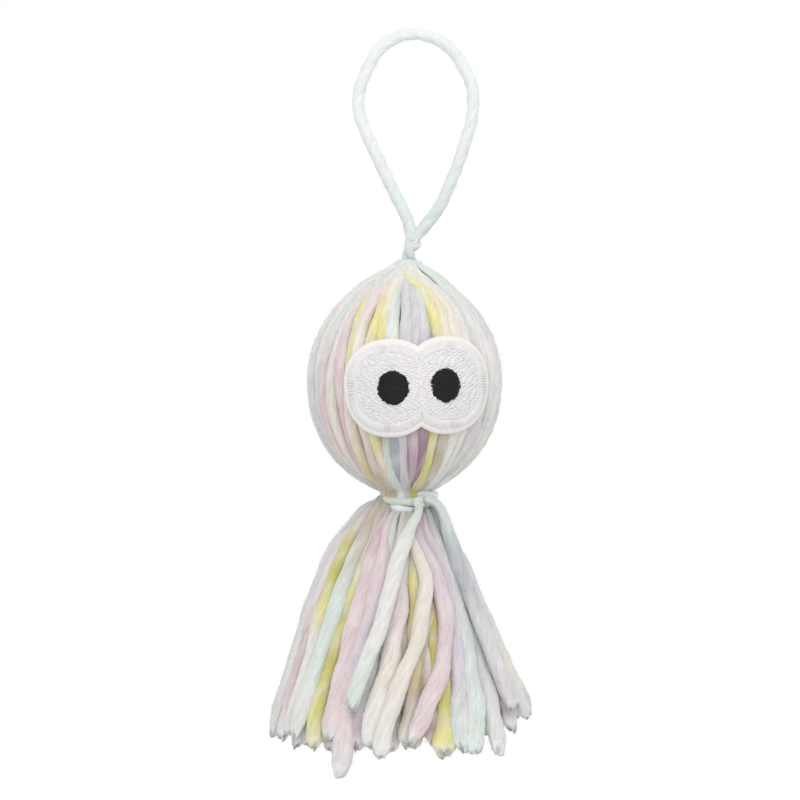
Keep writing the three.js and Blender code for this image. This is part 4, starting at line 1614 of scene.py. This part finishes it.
    def rim_stitches(self) -> np.ndarray:
        """Gives the satin border: short stitches across the outline, side by side.

        Returns:
            Rows of start and end on the flat patch.
        """
        inset = self.rim_inset + self.rim_width / 2
        wide, high = self.lobe_half_width - inset, self.lobe_half_height - inset
        count = int(math.pi * (wide + high) / (self.rim_pitch * self.thread_radius))
        turn = np.linspace(0, TURN, count, endpoint=False)
        cosine, sine = np.cos(turn), np.sin(turn)
        round_to = 2 / np.where(cosine > 0, self.lobe_power, self.inner_power)
        across = self.lobe_offset + wide * np.sign(cosine) * np.abs(cosine) ** round_to
        middle = np.stack([across, high * np.sign(sine) * np.abs(sine) ** round_to], axis=1)
        ahead = np.roll(middle, -2, axis=0) - np.roll(middle, 2, axis=0)
        reach = np.stack([ahead[:, 1], -ahead[:, 0]], axis=1)
        reach *= self.rim_width / 2 / np.linalg.norm(reach, axis=1, keepdims=True)
        start, end = middle - reach, middle + reach
        crossing = (start[:, 0] > 0) != (end[:, 0] > 0)
        run = np.where(crossing, start[:, 0] - end[:, 0], 1.0)
        share = np.where(crossing, start[:, 0] / run, 1.0)[:, None]
        cut = start + (end - start) * share
        start = np.where(start[:, :1] > 0, start, cut)
        end = np.where(end[:, :1] > 0, end, cut)
        kept = np.linalg.norm(end - start, axis=1) > self.shortest_rim_stitch
        kept &= middle[:, 0] > -self.rim_width
        kept &= np.minimum(start[:, 0], end[:, 0]) > -self.seam_slack
        right = np.hstack([start, end])[kept]
        return np.vstack([right * np.array([-1.0, 1.0, -1.0, 1.0]), right])

    def fill_stitches(self, side: int, rng: np.random.Generator) -> np.ndarray:
        """Gives the white fill of one eye: rows of short stitches that slant unevenly.

        Args:
            side: -1 for the left eye and 1 for the right.
            rng: random draws.

        Returns:
            Rows of start and end on the flat patch.
        """
        inset = self.rim_inset + self.rim_width
        wide, high = self.lobe_half_width - inset, self.lobe_half_height - inset
        rows = []
        below, above = self.fill_margin
        for up in np.arange(-high + below, high - above, self.fill_pitch * self.thread_radius):
            share = 1 - abs(up / high) ** self.lobe_power
            far = self.lobe_offset + wide * max(share, 0.0) ** (1 / self.lobe_power)
            near = self.lobe_offset - wide * max(1 - abs(up / high) ** self.inner_power, 0.0) ** 0.5
            near = max(near, -rng.uniform(0.0, self.fill_crossing))
            at = near - rng.uniform(0, self.fill_stitch)
            while at < far:
                reach = self.fill_stitch * rng.uniform(*self.fill_stretch)
                start, end = max(at, near), min(at + reach, far)
                if end - start > self.shortest_fill_stitch:
                    usual, spread = self.fill_slant
                    slant = (usual + rng.normal(0, spread)) * (end - start)
                    rows.append((side * start, up - slant, side * end, up + slant))
                at = end if end > at else far
        return np.array(rows)

    def pupil_stitches(self, side: int, rng: np.random.Generator) -> np.ndarray:
        """Gives one pupil: rows of level stitches with ragged ends.

        Args:
            side: -1 for the left eye and 1 for the right.
            rng: random draws.

        Returns:
            Rows of start and end on the flat patch.
        """
        rows = []
        middle = self.pupil_offset_right if side > 0 else -self.pupil_offset_left
        pitch = self.pupil_pitch * self.thread_radius
        for up in np.arange(-self.pupil_half_height, self.pupil_half_height, pitch):
            share = max(1 - abs(up / self.pupil_half_height) ** self.pupil_power, self.pupil_tip)
            half = self.pupil_half_width * share**0.5
            left, right = half + rng.uniform(*self.pupil_ragged), half + rng.uniform(*self.pupil_ragged)
            slant = rng.uniform(-self.pupil_slant, self.pupil_slant)
            rows.append((middle - left, up - slant, middle + right, up + slant))
        return np.array(rows)

    def stitches(
        self,
        name: str,
        rows: np.ndarray,
        base: float,
        arch: float,
        material: bpy.types.Material,
        rng: np.random.Generator,
    ) -> bpy.types.Object:
        """Sews thread over a list of starts and ends.

        Args:
            name: the piece's name.
            rows: start and end of each stitch on the flat patch.
            base: lift of the cloth under the thread.
            arch: how high a stitch stands at its middle.
            material: finish of the thread.
            rng: random draws.

        Returns:
            The piece.
        """
        thread = self.thread_mesh()
        shape = corners(thread)
        bm = bmesh.new()
        for _ in rows:
            bm.from_mesh(thread)
        mesh = written(bm, name)
        bpy.data.meshes.remove(thread)
        start, end = rows[:, None, 0:2], rows[:, None, 2:4]
        middle, half = (start + end) / 2, (end - start) / 2
        length = np.linalg.norm(half, axis=2, keepdims=True)
        side = np.stack([-half[..., 1], half[..., 0]], axis=-1) / length
        thick = self.thread_radius * rng.uniform(*self.thread_unevenness, (len(rows), 1, 1))
        place = middle + half * shape[None, :, 0:1] + side * shape[None, :, 1:2] * thick
        steepness, least = self.short_stitch_rise
        rise = np.minimum(arch, steepness * length[..., 0] + least)
        rise = rise * (1 - shape[None, :, 0] ** self.arch_power)
        lift = base - self.thread_radius + rise + shape[None, :, 2] * thick[..., 0]
        move_corners(mesh, self.on_face(place[..., 0].ravel(), place[..., 1].ravel(), lift.ravel()))
        return join(name, [mesh], material)

    @staticmethod
    def thread_mesh() -> bpy.types.Mesh:
        """Makes a straight bit of thread of radius 1, from -1 to 1 along X.

        Returns:
            The mesh of the thread.
        """
        bm = bmesh.new()
        sides, steps = 6, 6
        place = Matrix.Translation((-1, 0, 0)) @ Matrix.Rotation(math.pi / 2, 4, "Y")
        bmesh.ops.create_circle(bm, segments=sides, radius=1.0, matrix=place)
        draw_out(bm, (2, 0, 0), 0.0, steps)
        return written(bm, "thread")


@dataclass(frozen=True)
class SoftCore:
    """What the yarn hides: the crinkled film and the stuffing inside it."""

    film_creases: float = 26.0
    film_depth: float = 0.5
    stuffing_lumps: float = 7.0
    stuffing_depth: float = 0.6
    stuffing_fill: float = 0.8
    lean: Span = (0.6, 0.5)
    wobble: float = 3.0
    wobble_waves: float = 5.0

    def build(self, film: bpy.types.Material, stuffing: bpy.types.Material) -> None:
        """Makes the film and the stuffing inside the boxes of their CAD nodes.

        Args:
            film: finish of the film.
            stuffing: finish of the stuffing.
        """
        bag = join("film_bag", [self.ball("crinkle_film", self.film_creases, self.film_depth)], film)
        settle(bag, "head", "crinkle_film", "crinkle_film")
        lumps = self.ball("stuffing_ball", self.stuffing_lumps, self.stuffing_depth)
        fill = settle(join("stuffing_fill", [lumps], stuffing), "head", "stuffing", "stuffing_ball")

    def ball(self, node: str, waves: float, depth: float) -> bpy.types.Mesh:
        """Makes a creased ball that fills a CAD node's box.

        Args:
            node: CAD node to fill.
            waves: how many creases run round it.
            depth: how deep they are.

        Returns:
            The mesh of the ball.
        """
        low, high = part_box(node)
        size = (high - low) / 2
        bm = bmesh.new()
        bmesh.ops.create_icosphere(bm, subdivisions=5, radius=1.0)
        for vertex in bm.verts:
            x, y, z = vertex.co
            wobble = self.wobble * math.sin(self.wobble_waves * y)
            first = math.sin(waves * (x + self.lean[0] * z) + wobble)
            crease = abs(first * math.sin(waves * (y - self.lean[1] * z)))
            vertex.co *= 1 - depth * MM * (1 + crease) / size.x
        bmesh.ops.scale(bm, verts=bm.verts, vec=size)
        bmesh.ops.translate(bm, verts=bm.verts, vec=(high + low) / 2)
        return written(bm, node + "_ball")


@dataclass(frozen=True)
class Studio:
    """The camera, the soft light, the white surroundings and the floor."""

    camera_distance: float = 1200.0
    sensor: float = 36.0
    far_clip: float = 10000.0
    ambient: float = 0.84
    backdrop: float = 1.0
    key_power: float = 5.0
    key_size: float = 900.0
    key_place: tuple[float, float, float] = (30.0, -850.0, 550.0)
    key_aim: tuple[float, float, float] = (0.0, 0.0, -100.0)
    floor_level: float = -260.0
    floor_radius: float = 330.0
    floor_sides: int = 96

    def camera(self) -> None:
        """Sets the camera level with the middle of the photograph."""
        data = bpy.data.cameras.new("camera")
        view_width = PHOTO_SIDE_PX / PX_PER_MM
        data.sensor_width = self.sensor
        data.lens = self.sensor * self.camera_distance / view_width
        data.clip_end = self.far_clip * MM
        camera = bpy.data.objects.new("camera", data)
        middle = PHOTO_SIDE_PX / 2
        sideways = (middle - HANG_POINT_PX[0]) / PX_PER_MM
        level = (HANG_POINT_PX[1] - middle) / PX_PER_MM
        camera.location = (sideways * MM, -self.camera_distance * MM, level * MM)
        camera.rotation_euler = (math.pi / 2, 0, 0)
        bpy.context.scene.collection.objects.link(camera)
        bpy.context.scene.camera = camera

    def build(self, floor_finish: bpy.types.Material) -> None:
        """Adds the light, the surroundings and the floor.

        Args:
            floor_finish: finish of the floor.
        """
        scene = bpy.context.scene
        scene.view_settings.view_transform = "Standard"
        self.surroundings(scene)
        light = bpy.data.lights.new("key", "AREA")
        light.energy = self.key_power
        light.size = self.key_size * MM
        key = bpy.data.objects.new("key", light)
        key.location = Vector(self.key_place) * MM
        aim = Vector(self.key_aim) * MM - key.location
        key.rotation_euler = aim.to_track_quat("-Z", "Y").to_euler()
        scene.collection.objects.link(key)
        bm = bmesh.new()
        bmesh.ops.create_circle(bm, cap_ends=True, segments=self.floor_sides, radius=self.floor_radius * MM)
        bmesh.ops.translate(bm, verts=bm.verts, vec=(0, 0, self.floor_level * MM))
        mesh = written(bm, "floor")
        mesh.materials.append(floor_finish)
        floor = bpy.data.objects.new("floor", mesh)
        scene.collection.objects.link(floor)

    def surroundings(self, scene: bpy.types.Scene) -> None:
        """Makes the world white to the eye and a soft light to the toy.

        Args:
            scene: the scene to light.
        """
        world = bpy.data.worlds.new("surroundings")
        scene.world = world
        world.use_nodes = True
        nodes, links = world.node_tree.nodes, world.node_tree.links
        soft, seen = nodes["Background"], nodes.new("ShaderNodeBackground")
        for background, strength in ((soft, self.ambient), (seen, self.backdrop)):
            set_inputs(background, {"Color": (1, 1, 1, 1), "Strength": strength})
        path = nodes.new("ShaderNodeLightPath")
        mix = nodes.new("ShaderNodeMixShader")
        seen_by = path.outputs["Is Camera Ray"]
        for kind in ("Is Glossy Ray", "Is Transmission Ray"):
            either = nodes.new("ShaderNodeMath")
            either.operation = "MAXIMUM"
            links.new(seen_by, either.inputs[0])
            links.new(path.outputs[kind], either.inputs[1])
            seen_by = either.outputs["Value"]
        links.new(seen_by, mix.inputs["Fac"])
        links.new(soft.outputs["Background"], mix.inputs[1])
        links.new(seen.outputs["Background"], mix.inputs[2])
        links.new(mix.outputs["Shader"], nodes["World Output"].inputs["Surface"])


def main() -> None:
    """Builds the studio and the toy."""
    logging.basicConfig(level=logging.INFO, format="%(name)s %(message)s")
    studio = Studio()
    studio.camera()
    spinner = Spinner(seed=7)
    form = HeadForm()
    skirt = Skirt()
    loop_finish = YarnFinish("loop_cord_finish", darkest=0.86, lightest=0.97, bump=0.4).material()
    yarn_finish = YarnFinish("yarn_finish").material()
    skirt_finish = YarnFinish("skirt_yarn_finish", darkest=0.79, lightest=1.03).material()
    tie_finish = YarnFinish("tie_yarn_finish").material()
    HangingLoop().build(spinner, loop_finish)
    NeckTie(skirt).build(spinner, tie_finish)
    HeadYarn(form).build(spinner, yarn_finish)
    skirt.build(spinner, skirt_finish)
    felt = FeltFinish("felt_finish", (243, 238, 235), (228, 222, 218), grain=0.5, relief=0.25)
    thread = {"grain": 0.4, "relief": 0.05}
    white = FeltFinish("white_thread", (240, 239, 239), (217, 215, 215), roughness=0.35, sheen=0.1, **thread)
    black = FeltFinish("black_thread", (34, 32, 31), (14, 13, 12), roughness=0.55, sheen=0.02, **thread)
    EyePatch(form).build(felt.material(), white.material(), black.material())
    crisp = {"grain": 3.0, "relief": 0.2, "roughness": 0.25, "sheen": 0.0}
    film = FeltFinish("film_finish", (235, 238, 240), (215, 220, 226), **crisp)
    stuffing = FeltFinish("stuffing_finish", (246, 245, 240), (225, 223, 216), grain=1.5, relief=0.6)
    SoftCore().build(film.material(), stuffing.material())
    even = {"grain": 20.0, "relief": 0.0, "roughness": 0.9, "sheen": 0.0}
    floor = FeltFinish("floor_finish", (240, 240, 240), (236, 236, 236), **even)
    studio.build(floor.material())


if __name__ == "__main__":
    main()
